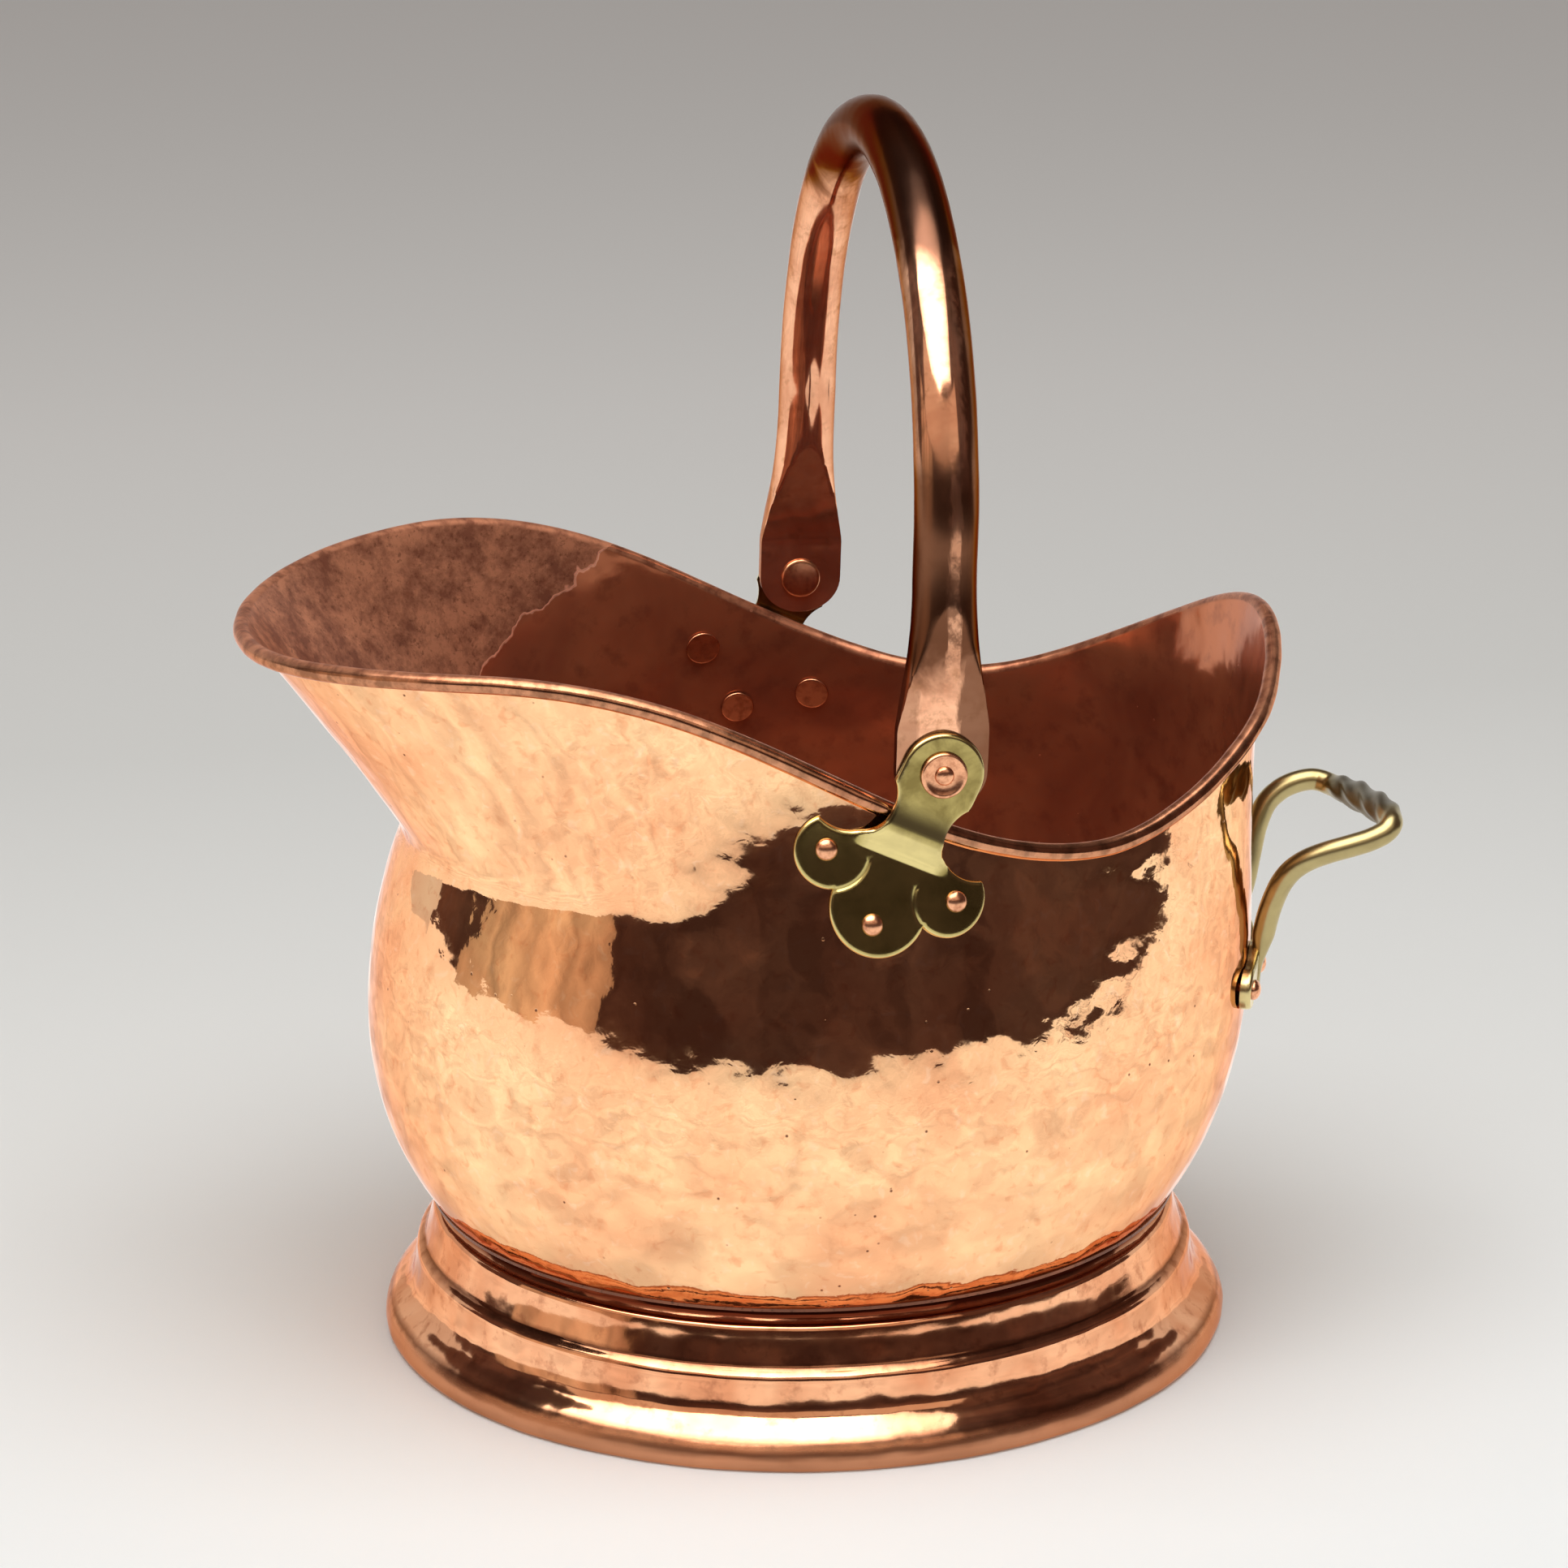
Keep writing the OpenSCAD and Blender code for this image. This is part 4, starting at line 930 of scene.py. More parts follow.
def bracketSeat(u, v):
    # where the bracket's inner face lies: on the body's side, out over the rim, then upright
    b = bracketForm
    x, z = leaning(u, v)
    r = keyRadius(wallForm["side"], z) + b["lobeGap"] + b["lobeOpen"]
    onWall = np.sqrt(np.maximum(r * r - x * x, 1)) - b["lobeOpen"]
    share = np.clip((v - b["stepTop"] + b["stepRun"]) / b["stepRun"], 0, 1)
    share = share * np.where(v < -20, 1 - ease((np.abs(u) - 12) / 5), 1)
    soft = share - 0.045 * np.sin(2 * math.pi * share)
    y = mix(onWall, b["eyeIn"], soft)
    return np.stack([x, y, z], -1)


def bracketPoints(outline, grooves):
    # points over the bracket's face, closest along its edge and its grooves
    b = bracketForm
    step = b["meshStep"]
    gu, gv = np.meshgrid(np.arange(*b["meshAcross"], step), np.arange(*b["meshUp"], step * 0.87))
    gu = gu + (np.arange(gu.shape[0]) % 2)[:, None] * step / 2
    inner = np.stack([gu.ravel(), gv.ravel()], -1)
    inner = inner[insideOf(inner, outline)]
    inner = inner[distanceTo(inner, outline) > b["edgeRound"] + 0.25]
    nearGroove = np.minimum(*[distanceTo(inner, g, False) for g in grooves])
    inner = inner[nearGroove > b["grooveWide"] * 2.3]
    way = np.roll(outline, -1, 0) - np.roll(outline, 1, 0)
    inwards = unit(np.stack([way[:, 1], -way[:, 0]], -1))
    rings = [outline]
    for depth in (*b["edgeRings"], b["edgeRound"]):
        ring = outline + inwards * depth
        ring = ring[insideOf(ring, outline)]
        rings.append(ring[distanceTo(ring, outline) > depth * 0.93])
    for g in grooves:
        w = np.gradient(g, axis=0)
        n = unit(np.stack([w[:, 1], -w[:, 0]], -1))
        for off in b["grooveLines"]:
            line = g[2:] + n[2:] * off
            rings.append(line[insideOf(line, outline)
                              & (distanceTo(line, outline) > b["edgeRound"] + 0.2)])
    return np.vstack(rings + [inner])


def bracketWear(pts, edge, groove):
    # rubbed bright are the rounded edge, the step's front and the grooves' lips, and tarnished
    # is the hollow over the step, which polish never reaches
    b = bracketForm
    above = pts[:, 1] - b["stepTop"]
    worn = np.exp(-(edge / 0.8) ** 2) * b["edgeWear"]
    shelf = np.clip((above + b["stepRun"] + 1) / 1.5, 0, 1) * np.clip((0.5 - above) / 1.5, 0, 1)
    shelf = shelf * (1 - ease((np.abs(pts[:, 0]) - 11) / 4))
    worn = np.maximum(worn, shelf * b["stepWear"])
    worn = np.maximum(worn, b["grooveWear"] * np.exp(-((groove - 0.7) / 0.35) ** 2))
    return worn, ease(above / 1.5) * ease((11 - above) / 8)


def makeBracket(name, side):
    b = bracketForm
    outline, lobe, cusp = bracketOutline()
    start = bearing(lobe, cusp)
    grooves = [arcPoints(lobe, b["lobeR"], start, start - turn) * [k, 1]
               for k, turn in zip((1, -1), b["grooveTurns"])]
    spots = [Vector(p) for p in bracketPoints(outline, grooves)]
    made = delaunay_2d_cdt(spots, [], [], 0, 1e-4, True)
    pts = np.array([tuple(p) for p in made[0]])
    tris = np.array([f for f in made[2] if len(f) == 3])
    tris = tris[insideOf(pts[tris].mean(1), outline)]
    edge, r = distanceTo(pts, outline), b["edgeRound"]
    drop = np.where(edge < r, r - np.sqrt(np.maximum(0, r * r - (r - edge) ** 2)), 0)
    groove = np.minimum(*[distanceTo(pts, g, False) for g in grooves])
    cut = b["grooveDeep"] * np.exp(-(groove / b["grooveWide"]) ** 2)
    height = b["thick"] - drop * 0.85 - cut
    seat = bracketSeat(pts[:, 0], pts[:, 1])
    h = 0.2
    du = bracketSeat(pts[:, 0] + h, pts[:, 1]) - bracketSeat(pts[:, 0] - h, pts[:, 1])
    dv = bracketSeat(pts[:, 0], pts[:, 1] + h) - bracketSeat(pts[:, 0], pts[:, 1] - h)
    normal = unit(np.cross(dv, du))
    if normal[:, 1].mean() < 0:
        normal = -normal
    top = seat + normal * height[:, None]
    count = len(pts)
    # the outline's own edges, walked once, make the side wall
    edges = dict.fromkeys(
        e for t in tris for e in ((t[0], t[1]), (t[1], t[2]), (t[2], t[0])))
    border = [e for e in edges if (e[1], e[0]) not in edges]
    faces = [list(t) for t in tris] + [[t[0] + count, t[2] + count, t[1] + count] for t in tris]
    faces += [[e[1], e[0], e[0] + count, e[1] + count] for e in border]
    points = np.vstack([top, seat]) * [1, side, 1]
    worn, over = bracketWear(pts, edge, groove)
    bracket = makeObject(name, points, faces, {
        "edge": np.concatenate([worn, worn * 0]),
        "tarnish": np.concatenate([over, over * 0])}, smoothUnder=42)
    outwards(bracket)
    bracket.data.materials.append(metals["castBrass"])
    return bracket


for name, side, node in (("bracketLeft", 1, "bracket_left"),
                         ("bracketRight", -1, "bracket_right")):
    take(makeBracket(name, side), "scuttle", "brass_fitting", node)
print("brackets cast")

# Rivets of brackets and back handle, in metres as their tree takes them
rivetForm = {
    "domeWidth": 0.0070, "domeHeight": 0.0022, "flatWidth": 0.012, "flatHeight": 0.0007,
    "shankWidth": 0.004, "headGap": 0.0004, "sheet": 0.001, "unevenness": 0.03, "seed": 4,
    "bite": 0.0006,  # how far the shank reaches into the heads
}


def makeRivetTree():
    # A dome outside, a flat head inside and a shank between, at each point with an outward way.
    f = rivetForm
    sizes = ("domeWidth", "domeHeight", "flatWidth", "flatHeight", "shankWidth")
    tree, add, get = newGeometryTree("closedRivets", {
        **{key: ("Float", f[key]) for key in sizes},
        "seed": ("Int", f["seed"]), "finish": ("Material", None)})
    way = add("GeometryNodeInputNamedAttribute", {"Name": "way"}, data_type="FLOAT_VECTOR")
    reach = add("GeometryNodeInputNamedAttribute", {"Name": "reach"}, data_type="FLOAT")
    turned = add("FunctionNodeAlignRotationToVector", {"Vector": way}, axis="Z")
    x, y, z = add("ShaderNodeSeparateXYZ", [add("GeometryNodeInputPosition")], out=None).outputs
    parts = add("GeometryNodeJoinGeometry", out=None)
    under = f["sheet"] + f["headGap"]

    def setAlong(offset, shape, scale):
        # one copy of the shape on each point, shifted along the point's way
        shift = add("ShaderNodeVectorMath", {0: way, "Scale": offset}, operation="SCALE")
        spots = add("GeometryNodeSetPosition", {"Geometry": get["Geometry"], "Offset": shift})
        copies = add("GeometryNodeInstanceOnPoints", {
            "Points": spots, "Instance": shape, "Rotation": turned, "Scale": scale})
        tree.links.new(copies, parts.inputs[0])

    def head(width, height, flatten, offset, low, high, number):
        # a ball drawn out by flatten and cut between low and high, in shares of its height
        ball = add("GeometryNodeMeshUVSphere", [40, 20, 0.5])
        tall = add("ShaderNodeMath", [height, flatten], operation="MULTIPLY")
        sized = add("GeometryNodeTransform", {
            "Geometry": ball, "Scale": add("ShaderNodeCombineXYZ", [width, width, tall])})
        lowest, highest = [add("ShaderNodeMath", [height, share], operation="MULTIPLY")
                           for share in (low, high)]
        cutZ = add("ShaderNodeMath", [
            add("ShaderNodeMath", [z, lowest], operation="MAXIMUM"), highest],
            operation="MINIMUM")
        cut = add("GeometryNodeSetPosition", {
            "Geometry": sized, "Position": add("ShaderNodeCombineXYZ", [x, y, cutZ])})
        uneven = add("FunctionNodeRandomValue", {
            0: (1 - f["unevenness"],) * 3, 1: (1 + f["unevenness"],) * 3,
            "Seed": add("ShaderNodeMath", [get["seed"], number], operation="ADD")},
            data_type="FLOAT_VECTOR")
        setAlong(offset, cut, uneven)

    head(get["domeWidth"], get["domeHeight"], 2.0, reach, 0.0, 1.0, 0.0)
    inner = add("ShaderNodeMath", [get["flatHeight"], 0.5], operation="MULTIPLY")
    head(get["flatWidth"], get["flatHeight"], 4.0,
         add("ShaderNodeMath", [-under, inner], operation="SUBTRACT"), -0.5, 0.5, 1.0)
    shank = add("GeometryNodeMeshCylinder", {
        "Vertices": 24, "Depth": 1.0,
        "Radius": add("ShaderNodeMath", [get["shankWidth"], 0.5], operation="MULTIPLY")})
    length = add("ShaderNodeMath", [reach, under + f["bite"]], operation="ADD")
    half = add("ShaderNodeMath", [reach, 0.5], operation="MULTIPLY")
    setAlong(add("ShaderNodeMath", [half, under / 2], operation="SUBTRACT"), shank,
             add("ShaderNodeCombineXYZ", [1.0, 1.0, length]))
    closeTree(add, add("GeometryNodeSetShadeSmooth", {"Geometry": parts.outputs[0]}),
              get["finish"])
    return tree


def sideTurn(x, z):
    # direction of the point of the side wall at x and z, in degrees
    return np.degrees(np.arccos(x / keyRadius(wallForm["side"], z)))


handleForm = {
    "turn": 8.5, "spread": 54, "padZ": 125, "wing": 14, "lobeR": 7, "thick": 3.6, "rod": 7.6,
    "grip": 8.4, "turns": 0.8, "parts": 8, "sides": 36, "backR": 152, "padGap": 0.2,
    "lump": 0.05, "tipWide": 1.3, "tipThick": 0.35,
}


rivetLift = 0.3  # millimetres from a bracket's or pad's face to the dome's rim


def makeRivets():
    b, hf = bracketForm, handleForm
    spots = []  # direction, height and reach of each dome
    for u, v in ((b["lobeU"], -b["lobeV"]), (-b["lobeU"], -b["lobeV"]), (0, -b["rivetToeV"])):
        x, z = leaning(u, v)
        a = float(sideTurn(x, z))
        spots += [(k * a, z, b["thick"] + rivetLift) for k in (1, -1)]
    for k in (1, -1):
        padTurn = 180 - hf["turn"] - k * math.degrees(math.asin(hf["spread"] / 2 / hf["backR"]))
        for s in (-hf["wing"], hf["wing"]):
            a = padTurn + math.degrees(math.asin(s / hf["backR"]))
            more = float(keyRadius(wallForm["back"], hf["padZ"]) - wallRadius(a, hf["padZ"]))
            spots.append((a, hf["padZ"], hf["thick"] + rivetLift + more))
    mesh = bpy.data.meshes.new("rivetSpots")
    seats = [wallPoint(np.array(a), np.array(z)) * mm for a, z, r in spots]
    ways = np.array([wallNormal(np.array(a), np.array(z)) for a, z, r in spots])
    mesh.from_pydata([tuple(p) for p in seats], [], [])
    mesh.attributes.new("way", "FLOAT_VECTOR", "POINT").data.foreach_set(
        "vector", ways.astype(np.float32).ravel())
    mesh.attributes.new("reach", "FLOAT", "POINT").data.foreach_set(
        "value", np.array([r * mm for a, z, r in spots], np.float32))
    rivets = placeObject("copperRivets", mesh)
    bake(rivets, makeRivetTree(), {"finish": metals["rivetCopper"]})
    rivets.data.set_sharp_from_angle(angle=math.radians(50))
    return rivets


take(makeRivets(), "scuttle", "copper_rivet", "bracket_rivets_left", "bracket_rivets_right",
     "rear_handle_rivets_left", "rear_handle_rivets_right")
print("rivets closed")

# Pivots
pivotForm = {
    "eyeOut": 131.416, "headOut": 123.916, "steps": 72,
    # radius and height over the bracket's outer face
    "washer": [(2.75, 0.3), (4.1, 0.1), (7.1, 0.1), (7.4, 0.35), (7.4, 0.95), (7.2, 1.45),
               (6.8, 1.72), (6.4, 1.78), (6.0, 1.66), (5.4, 1.42), (4.6, 1.22), (3.7, 1.14),
               (2.75, 1.14)],
    "pip": [(3.05, 1.1), (3.0, 1.5), (2.75, 1.95), (2.2, 2.35), (1.3, 2.62), (0.5, 2.72)],
    "shank": 4.0, "neck": 2.65, "head": 7.0, "headThick": 1.2,
}


def lathe(name, profile, closed):
    # both sides of the scuttle, profile of radius and distance from the middle plane
    p = pivotForm
    turn = np.arange(p["steps"]) * 2 * math.pi / p["steps"]
    points, faces = [], []
    for side in (1, -1):
        start = len(points)
        for r, h in profile:
            for t in turn:
                points.append((bailForm["pivot"][0] + r * math.cos(t), side * h,
                               bailForm["pivot"][1] + r * math.sin(t)))
        rings = gridFaces(len(profile), p["steps"], closedN=closed) + start
        faces += [list(f) for f in rings]
        if not closed:
            faces += [list(range(start, start + p["steps"])),
                      list(range(len(points) - p["steps"], len(points)))]
    piece = makeObject(name, points, faces, smoothUnder=45)
    outwards(piece)
    piece.data.materials.append(metals["rivetCopper"])
    return piece


def makePivots():
    p = pivotForm
    washer = [(r, h + p["eyeOut"]) for r, h in p["washer"]]
    inner = p["headOut"] - p["headThick"]
    rivet = [(0.4, inner - 0.02), (p["head"] - 1.4, inner), (p["head"] - 0.5, inner + 0.12),
             (p["head"] - 0.1, inner + 0.4), (p["head"], inner + 0.8),
             (p["head"] - 0.15, p["headOut"]), (p["shank"], p["headOut"]),
             (p["shank"], p["eyeOut"] - 0.1), (p["neck"], p["eyeOut"] + 0.15)]
    rivet += [(r, h + p["eyeOut"]) for r, h in [(p["neck"], 1.08)] + p["pip"]]
    take(lathe("pivotWashers", washer, True), "scuttle", "copper_rivet",
         "pivot_washer_left", "pivot_washer_right")
    take(lathe("pivotRivets", rivet, False), "scuttle", "copper_rivet",
         "pivot_rivet_left", "pivot_rivet_right")


makePivots()
print("pivots set")


# Back handle

def handlePath():
    # along the spread, outwards and up from the pads: two bent legs and the grip between
    left = [(0, 2.2, -5), (0, 2.3, 0), (0, 2.7, 5), (0.5, 3.9, 11.5), (1, 4.7, 16), (2, 6, 22.5),
            (3, 7.8, 28.5), (4.5, 10, 34), (6, 13.4, 38.8), (7.5, 18.4, 42.6), (8.5, 24.8, 45.3),
            (9, 31.4, 47.3), (9, 38.2, 49.4), (8, 43.4, 51.8)]
    grip = [(32, 45.8, 54.2), (21, 45.4, 54.2), (11, 44.2, 53.2), (0, 42.4, 51.9),
            (-11, 40.4, 50.7), (-21, 38.3, 49.4), (-32, 35, 48)]
    right = [(-8.5, 30.9, 48.9), (-9, 26.9, 49.2), (-8.5, 21.4, 48.1), (-7.5, 16.4, 45.8),
             (-6, 11.8, 41.6), (-4, 8.6, 34.5), (-2.5, 6.8, 27), (-1, 5.2, 19.5), (-0.5, 4, 12),
             (0, 2.7, 5), (0, 2.3, 0), (0, 2.2, -5)]
    half = handleForm["spread"] / 2
    line = [(half + s, d, z) for s, d, z in left] + grip + [(s - half, d, z) for s, d, z in right]
    return smoothLine(line, handleForm["parts"]), len(left), len(grip)


def makeHandle():
    f = handleForm
    line, legCount, gripCount = handlePath()
    half = f["spread"] / 2
    padD = math.sqrt(f["backR"] ** 2 - half ** 2)
    line = line + [0, padD, f["padZ"]]
    n, m = len(line), f["sides"]
    t = np.arange(m) * 2 * math.pi / m
    rings, worn, tarnish = [], [], []
    for i in range(n):
        way = unit(line[min(n - 1, i + 1)] - line[max(0, i - 1)])
        side = unit(np.cross([0, -1, 1.5], way))
        up = np.cross(way, side)
        along = min(1, max(0, (i / f["parts"] - legCount) / (gripCount - 1)))
        square = float(ease(min(1, 6 * along, 6 * (1 - along))))
        twist = along * 2 * math.pi * f["turns"]
        fromEnd = (min(i, n - 1 - i) - f["parts"]) / (3 * f["parts"])
        endShare = float(ease(fromEnd))
        corner = f["grip"] / 2 * (1.1 - 0.11 * np.cos(4 * t))
        lump = 1 + f["lump"] * square * math.cos(along * 2 * math.pi * f["turns"] * 4)
        r = mix(f["rod"] / 2, corner * lump, square)
        x = r * np.cos(t + twist) * mix(f["tipWide"], 1, endShare)
        y = r * np.sin(t + twist) * mix(f["tipThick"], 1, endShare)
        rings.append(line[i] + np.outer(x, side) + np.outer(y, up))
        worn += [mix(0.5, 0.1, square)] * m
        tarnish += [mix(0.35, 0.85, square)] * m
    points = np.vstack(rings)
    faces = capped(n, m)
    for k in (1, -1):
        padPoints, padFaces = padPlate(k, len(points))
        points = np.vstack([points, padPoints])
        faces += padFaces
        worn += [0.6] * len(padPoints)
        tarnish += [0.0] * len(padPoints)
    a = math.radians(90 - f["turn"])
    x, y = points[:, 0].copy(), points[:, 1].copy()
    points[:, 0] = x * math.cos(a) - y * math.sin(a)
    points[:, 1] = x * math.sin(a) + y * math.cos(a)
    handle = makeObject("backHandle", points, faces, {"edge": worn, "tarnish": tarnish},
                        smoothUnder=40)
    outwards(handle)
    handle.data.materials.append(metals["drawnBrass"])
    return handle


def padPlate(k, start):
    # two-lobed forged end, in the handle's own frame: across, outwards, up
    f = handleForm
    lobes = [arcPoints((f["wing"], 0), f["lobeR"], -100, 100, 0.6),
             [(f["rod"] * 0.9, f["lobeR"] * 1.15), (f["rod"] * 0.45, f["lobeR"] * 1.5),
              (-f["rod"] * 0.45, f["lobeR"] * 1.5), (-f["rod"] * 0.9, f["lobeR"] * 1.15)],
             arcPoints((-f["wing"], 0), f["lobeR"], 80, 280, 0.6)]
    line = np.vstack(lobes)
    way = np.roll(line, -1, 0) - np.roll(line, 1, 0)
    inwards = unit(np.stack([-way[:, 1], way[:, 0]], -1))
    rings = [(line + inwards * inset, height) for inset, height in (
        (0, 0), (0, 0.55), (0.12, 0.78), (0.4, 0.93), (0.9, 1.0))]
    centre = k * f["spread"] / 2
    turn0, gap = math.asin(centre / f["backR"]), f["padGap"]
    out = []
    for ring, height in rings:
        for s, z in ring:
            turn = turn0 + s / (f["backR"] + gap)
            r = float(keyRadius(wallForm["back"], f["padZ"] + z)) + gap + height * f["thick"]
            out.append((r * math.sin(turn), r * math.cos(turn), f["padZ"] + z))
    m = len(line)
    faces = [list(q + start) for q in gridFaces(len(rings), m, closedN=False)]
    # caps: fans to a middle point keep the curved faces true
    for base in (0, (len(rings) - 1) * m):
        h = 0 if base == 0 else 1
        r = float(keyRadius(wallForm["back"], f["padZ"])) + gap + h * f["thick"]
        grid = len(out)
        strip = []
        for s in np.linspace(-f["wing"], f["wing"], 9):
            turn = turn0 + s / (f["backR"] + gap)
            out.append((r * math.sin(turn), r * math.cos(turn), f["padZ"] + 0.5))
            strip.append((s, grid + len(strip)))
        for i in range(m):
            j = (i + 1) % m
            near = min(strip, key=lambda q: abs(q[0] - (line[i][0] + line[j][0]) / 2))
            faces.append([base + i + start, base + j + start, near[1] + start])
            nearNext = min(strip, key=lambda q: abs(
                q[0] - (line[j][0] + line[(j + 1) % m][0]) / 2))
            if near[1] != nearNext[1]:
                faces.append([base + j + start, nearNext[1] + start, near[1] + start])
    return np.array(out), faces


take(makeHandle(), "scuttle", "brass_fitting", "rear_handle")
print("back handle bent")

# CAD nodes that stay
for node, metal in (("foot_wire", "drawnIronWire"), ("bottom_plate", "sootedCopper")):
    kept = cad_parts[node]
    kept.data.materials.clear()
    kept.data.materials.append(metals[metal])

# Studio, in metres
studio = {
    "floorSize": 16.0, "cameraTurn": 9.6,
    # seen by the camera: the floor's tones from near to far, painted light falloff, darker behind
    # the scuttle
    "floorNear": 0.9, "floorFar": -3.4,
    "floorFalloffTones": [(0.16, "#F4F8F9"), (0.24, "#E8EAE9"), (0.38, "#DBDCDA"), (0.55, "#E3E2E0"),
                   (1.0, "#E8E6E4")],
    # mirrored in the copper: a glowing white sheet under the scuttle, clouded, with a painted
    # contact shadow where it meets the scuttle, that ends in front and to the right
    "sheetTone": "#FFFBF6", "sheetGlow": 1.12, "cloud": 45, "cloudShare": (0.5, 1.1),
    "contactShadow": [(0.13, 0.7), (0.17, 0.95), (0.25, 1.0)],
    "sheetEnd": (-0.93, -0.85), "endWave": (150, 0.7), "backEdge": (-0.35, -0.15),
    "frontFade": (0.7, 2.3, 1.0, 0.66), "frontEdge": (2.3, 2.6),
    # what glossy and other rays find past the lights
    "room": [(0.38, "#3E2D2A"), (0.5, "#54403B"), (0.64, "#6E5249")], "air": "#A29E9B",
    # Strips of soft light round the scuttle: directions in degrees, distance and height of the
    # lower and of the upper edge, the glow at each direction, and the tint.
    "keyBand": ((-76, -60, -45, -30, -18, -6, 6, 18, 32, 46), (2.4, 0.97), (2.0, 1.75),
                (0.75, 0.8, 0.8, 0.75, 0.7, 0.7, 0.7, 0.75, 0.8, 0.8), "#FFE6D0"),
    "ceilingBand": (range(-180, 181, 30), (1.25, 2.8), (0.02, 2.8), (0.55,) * 13, "#FFFFFF"),
    "sideBand": ((-94, -88, -84, -78, -73, -67, -61, -56, -50), (3.0, 0.0), (3.0, 1.1),
                 (0.5, 0.7, 0.42, 0.85, 0.6, 0.95, 0.5, 0.7, 0.4), "#FFE2C6"),
    "backBand": ((112, 140, 168, 196, 224, 246), (3.6, 0.0), (3.6, 1.7), (0.8,) * 6, "#FFFFFF"),
    # flat softbox overhead: its x and y from and to, height, glow and tint
    "keyPanel": ((-0.9, 2.4), (-0.3, 2.1), 2.15, 6.0, "#FFF8F0"),
    "panelParts": (9, 7), "panelFade": 0.75,
    "lampPlace": (0.1, 0.5, 2.3), "lampSize": (2.4, 1.8), "lampEnergy": 43,
    "lampColour": (1.0, 0.995, 0.985),
}


def around(azimuth, distance, height):
    # azimuth in degrees from the camera's side, positive to the photograph's right
    a = math.radians(90 - studio["cameraTurn"] + azimuth)
    return (distance * math.cos(a), distance * math.sin(a), height)


def makeLight(name, rows, faces, glow, tint):
    # a glowing sheet that only the copper's mirror sees
    mesh = bpy.data.meshes.new(name)
    mesh.from_pydata(rows, [], faces)
    mesh.attributes.new("glow", "FLOAT", "POINT").data.foreach_set("value", glow)
    material = bpy.data.materials.new(name)
    add = emptyTree(material)
    strength = add("ShaderNodeAttribute", attribute_name="glow", out="Fac")
    light = add("ShaderNodeEmission", {"Color": tint, "Strength": strength})
    add("ShaderNodeOutputMaterial", [light])
    mesh.materials.append(material)
    sheet = placeObject(name, mesh)
    sheet.visible_camera = sheet.visible_diffuse = sheet.visible_shadow = False


def makeBand(name):
    turns, low, high, glow, tint = studio[name]
    rows = [around(t, *low) for t in turns] + [around(t, *high) for t in turns]
    count = len(turns)
    faces = [(i, i + 1, i + 1 + count, i + count) for i in range(count - 1)]
    makeLight(name, rows, faces, list(glow) * 2, tint)


def makePanel(name):
    # brightest in its middle
    across, along, height, glow, tint = studio[name]
    n, m = studio["panelParts"]
    xs, ys = np.linspace(*across, n), np.linspace(*along, m)
    fade = [glow * (1 - studio["panelFade"] * abs(
        (x - sum(across) / 2) / (xs[-1] - xs[0]) * 2) ** 3) for x in xs for y in ys]
    makeLight(name, [(x, y, height) for x in xs for y in ys],
              gridFaces(n, m, False, False).tolist(), fade, tint)


def mirroredSheet(add, place, x, y):
    s = studio
    reach = add("ShaderNodeMapRange", [y, *s["frontFade"]])
    distance = add("ShaderNodeVectorMath", [place], out=1, operation="LENGTH")
    # painted contact shadow: the sheet's glow darkens close to the scuttle
    contactShadow = add("ShaderNodeValToRGB", [distance], stops=s["contactShadow"])
    light = add("ShaderNodeMath", [reach, contactShadow], operation="MULTIPLY")
    cloud, wave = [add("ShaderNodeTexNoise", {
        "Vector": place, "Scale": 1 / (size * mm), "Detail": detail, "Roughness": 0.5})
        for size, detail in ((s["cloud"], 3), (s["endWave"][0], 2))]
    low, share = s["cloudShare"]
    light = add("ShaderNodeMath", [light, level(add, low, (cloud, share))], operation="MULTIPLY")
    glow = add("ShaderNodeEmission", {
        "Color": s["sheetTone"], "Strength": level(add, 0.0, (light, s["sheetGlow"]))})
    waved = level(add, x, (wave, s["endWave"][1]))
    there = add("ShaderNodeMath", [
        add("ShaderNodeMapRange", [waved, *s["sheetEnd"], 0.0, 1.0]),
        add("ShaderNodeMapRange", [y, *s["backEdge"], 1.0, 0.0])], operation="MAXIMUM")
    there = add("ShaderNodeMath", [
        add("ShaderNodeMapRange", [y, *s["frontEdge"], 1.0, 0.0]), there], operation="MULTIPLY")
    return add("ShaderNodeMixShader", [there, add("ShaderNodeBsdfTransparent"), glow])


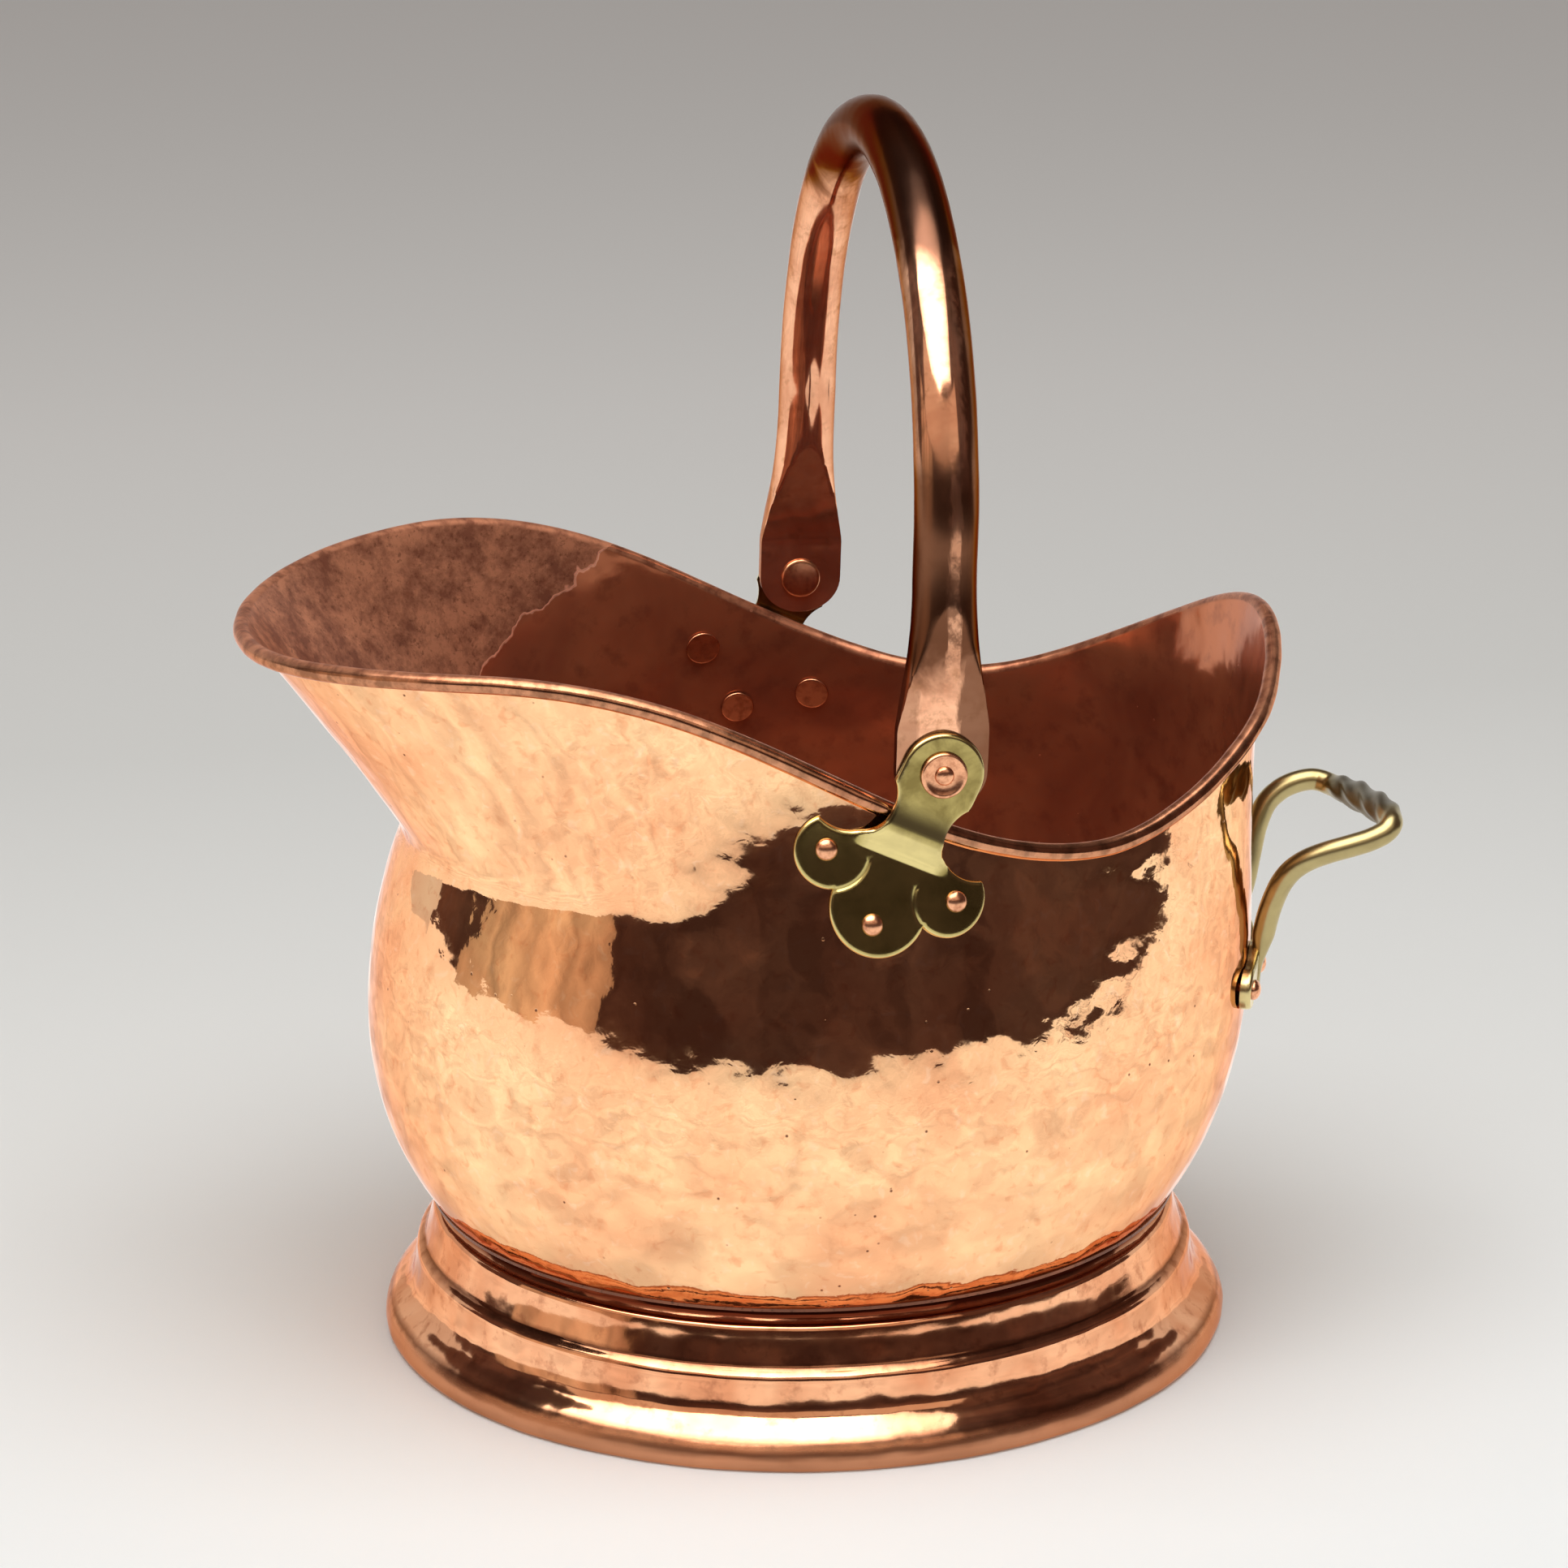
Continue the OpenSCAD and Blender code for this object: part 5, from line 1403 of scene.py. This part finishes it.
def makeFloor(name, forCamera):
    size = studio["floorSize"]
    mesh = bpy.data.meshes.new(name)
    mesh.from_pydata([(-size, -size, 0), (size, -size, 0), (size, size, 0), (-size, size, 0)],
                     [], [(0, 1, 2, 3)])
    floor = placeObject(name, mesh)
    material = bpy.data.materials.new(name)
    add = emptyTree(material)
    place = add("ShaderNodeTexCoord", out="Object")
    x, y = add("ShaderNodeSeparateXYZ", [place], out=None).outputs[:2]
    if forCamera:
        # painted light falloff: the floor is coloured lighter in front and darker behind the
        # scuttle
        behind = add("ShaderNodeMapRange", [y, studio["floorNear"], studio["floorFar"], 0.0, 1.0])
        surface = add("ShaderNodeBsdfDiffuse", {"Color": add(
            "ShaderNodeValToRGB", [behind], stops=studio["floorFalloffTones"])})
        floor.visible_glossy = False
    else:
        surface = mirroredSheet(add, place, x, y)
        floor.visible_camera = floor.visible_diffuse = floor.visible_shadow = False
    add("ShaderNodeOutputMaterial", [surface])
    mesh.materials.append(material)


def makeAir():
    # the copper mirrors a dim brown room, and everything else gets plain grey light
    scene.world = bpy.data.worlds.new("studioAir")
    add = emptyTree(scene.world)
    toward = add("ShaderNodeTexCoord", out="Generated")
    dim = add("ShaderNodeTexNoise", {"Vector": toward, "Scale": 2.0, "Detail": 4.0})
    room = add("ShaderNodeBackground", {
        "Color": add("ShaderNodeValToRGB", [dim], stops=studio["room"]), "Strength": 1.0})
    air = add("ShaderNodeBackground", {"Color": studio["air"], "Strength": 1.0})
    ray = add("ShaderNodeLightPath", out="Is Glossy Ray")
    add("ShaderNodeOutputWorld", [add("ShaderNodeMixShader", [ray, air, room])])


def makeStudio():
    s = studio
    makeFloor("studioFloor", True)
    makeFloor("studioFloorMirrored", False)
    makeAir()
    makeBand("keyBand")
    makePanel("keyPanel")
    for name in ("ceilingBand", "sideBand", "backBand"):
        makeBand(name)
    lamp = bpy.data.lights.new("overheadSoftbox", "AREA")
    lamp.shape = "RECTANGLE"
    lamp.size, lamp.size_y = s["lampSize"]
    lamp.energy, lamp.color = s["lampEnergy"], s["lampColour"]
    holder = placeObject("overheadSoftbox", lamp)
    holder.location = s["lampPlace"]
    holder.rotation_mode = "QUATERNION"
    holder.rotation_quaternion = Vector(s["lampPlace"]).to_track_quat("Z", "Y")
    holder.visible_glossy = False


makeStudio()
print("studio lit")
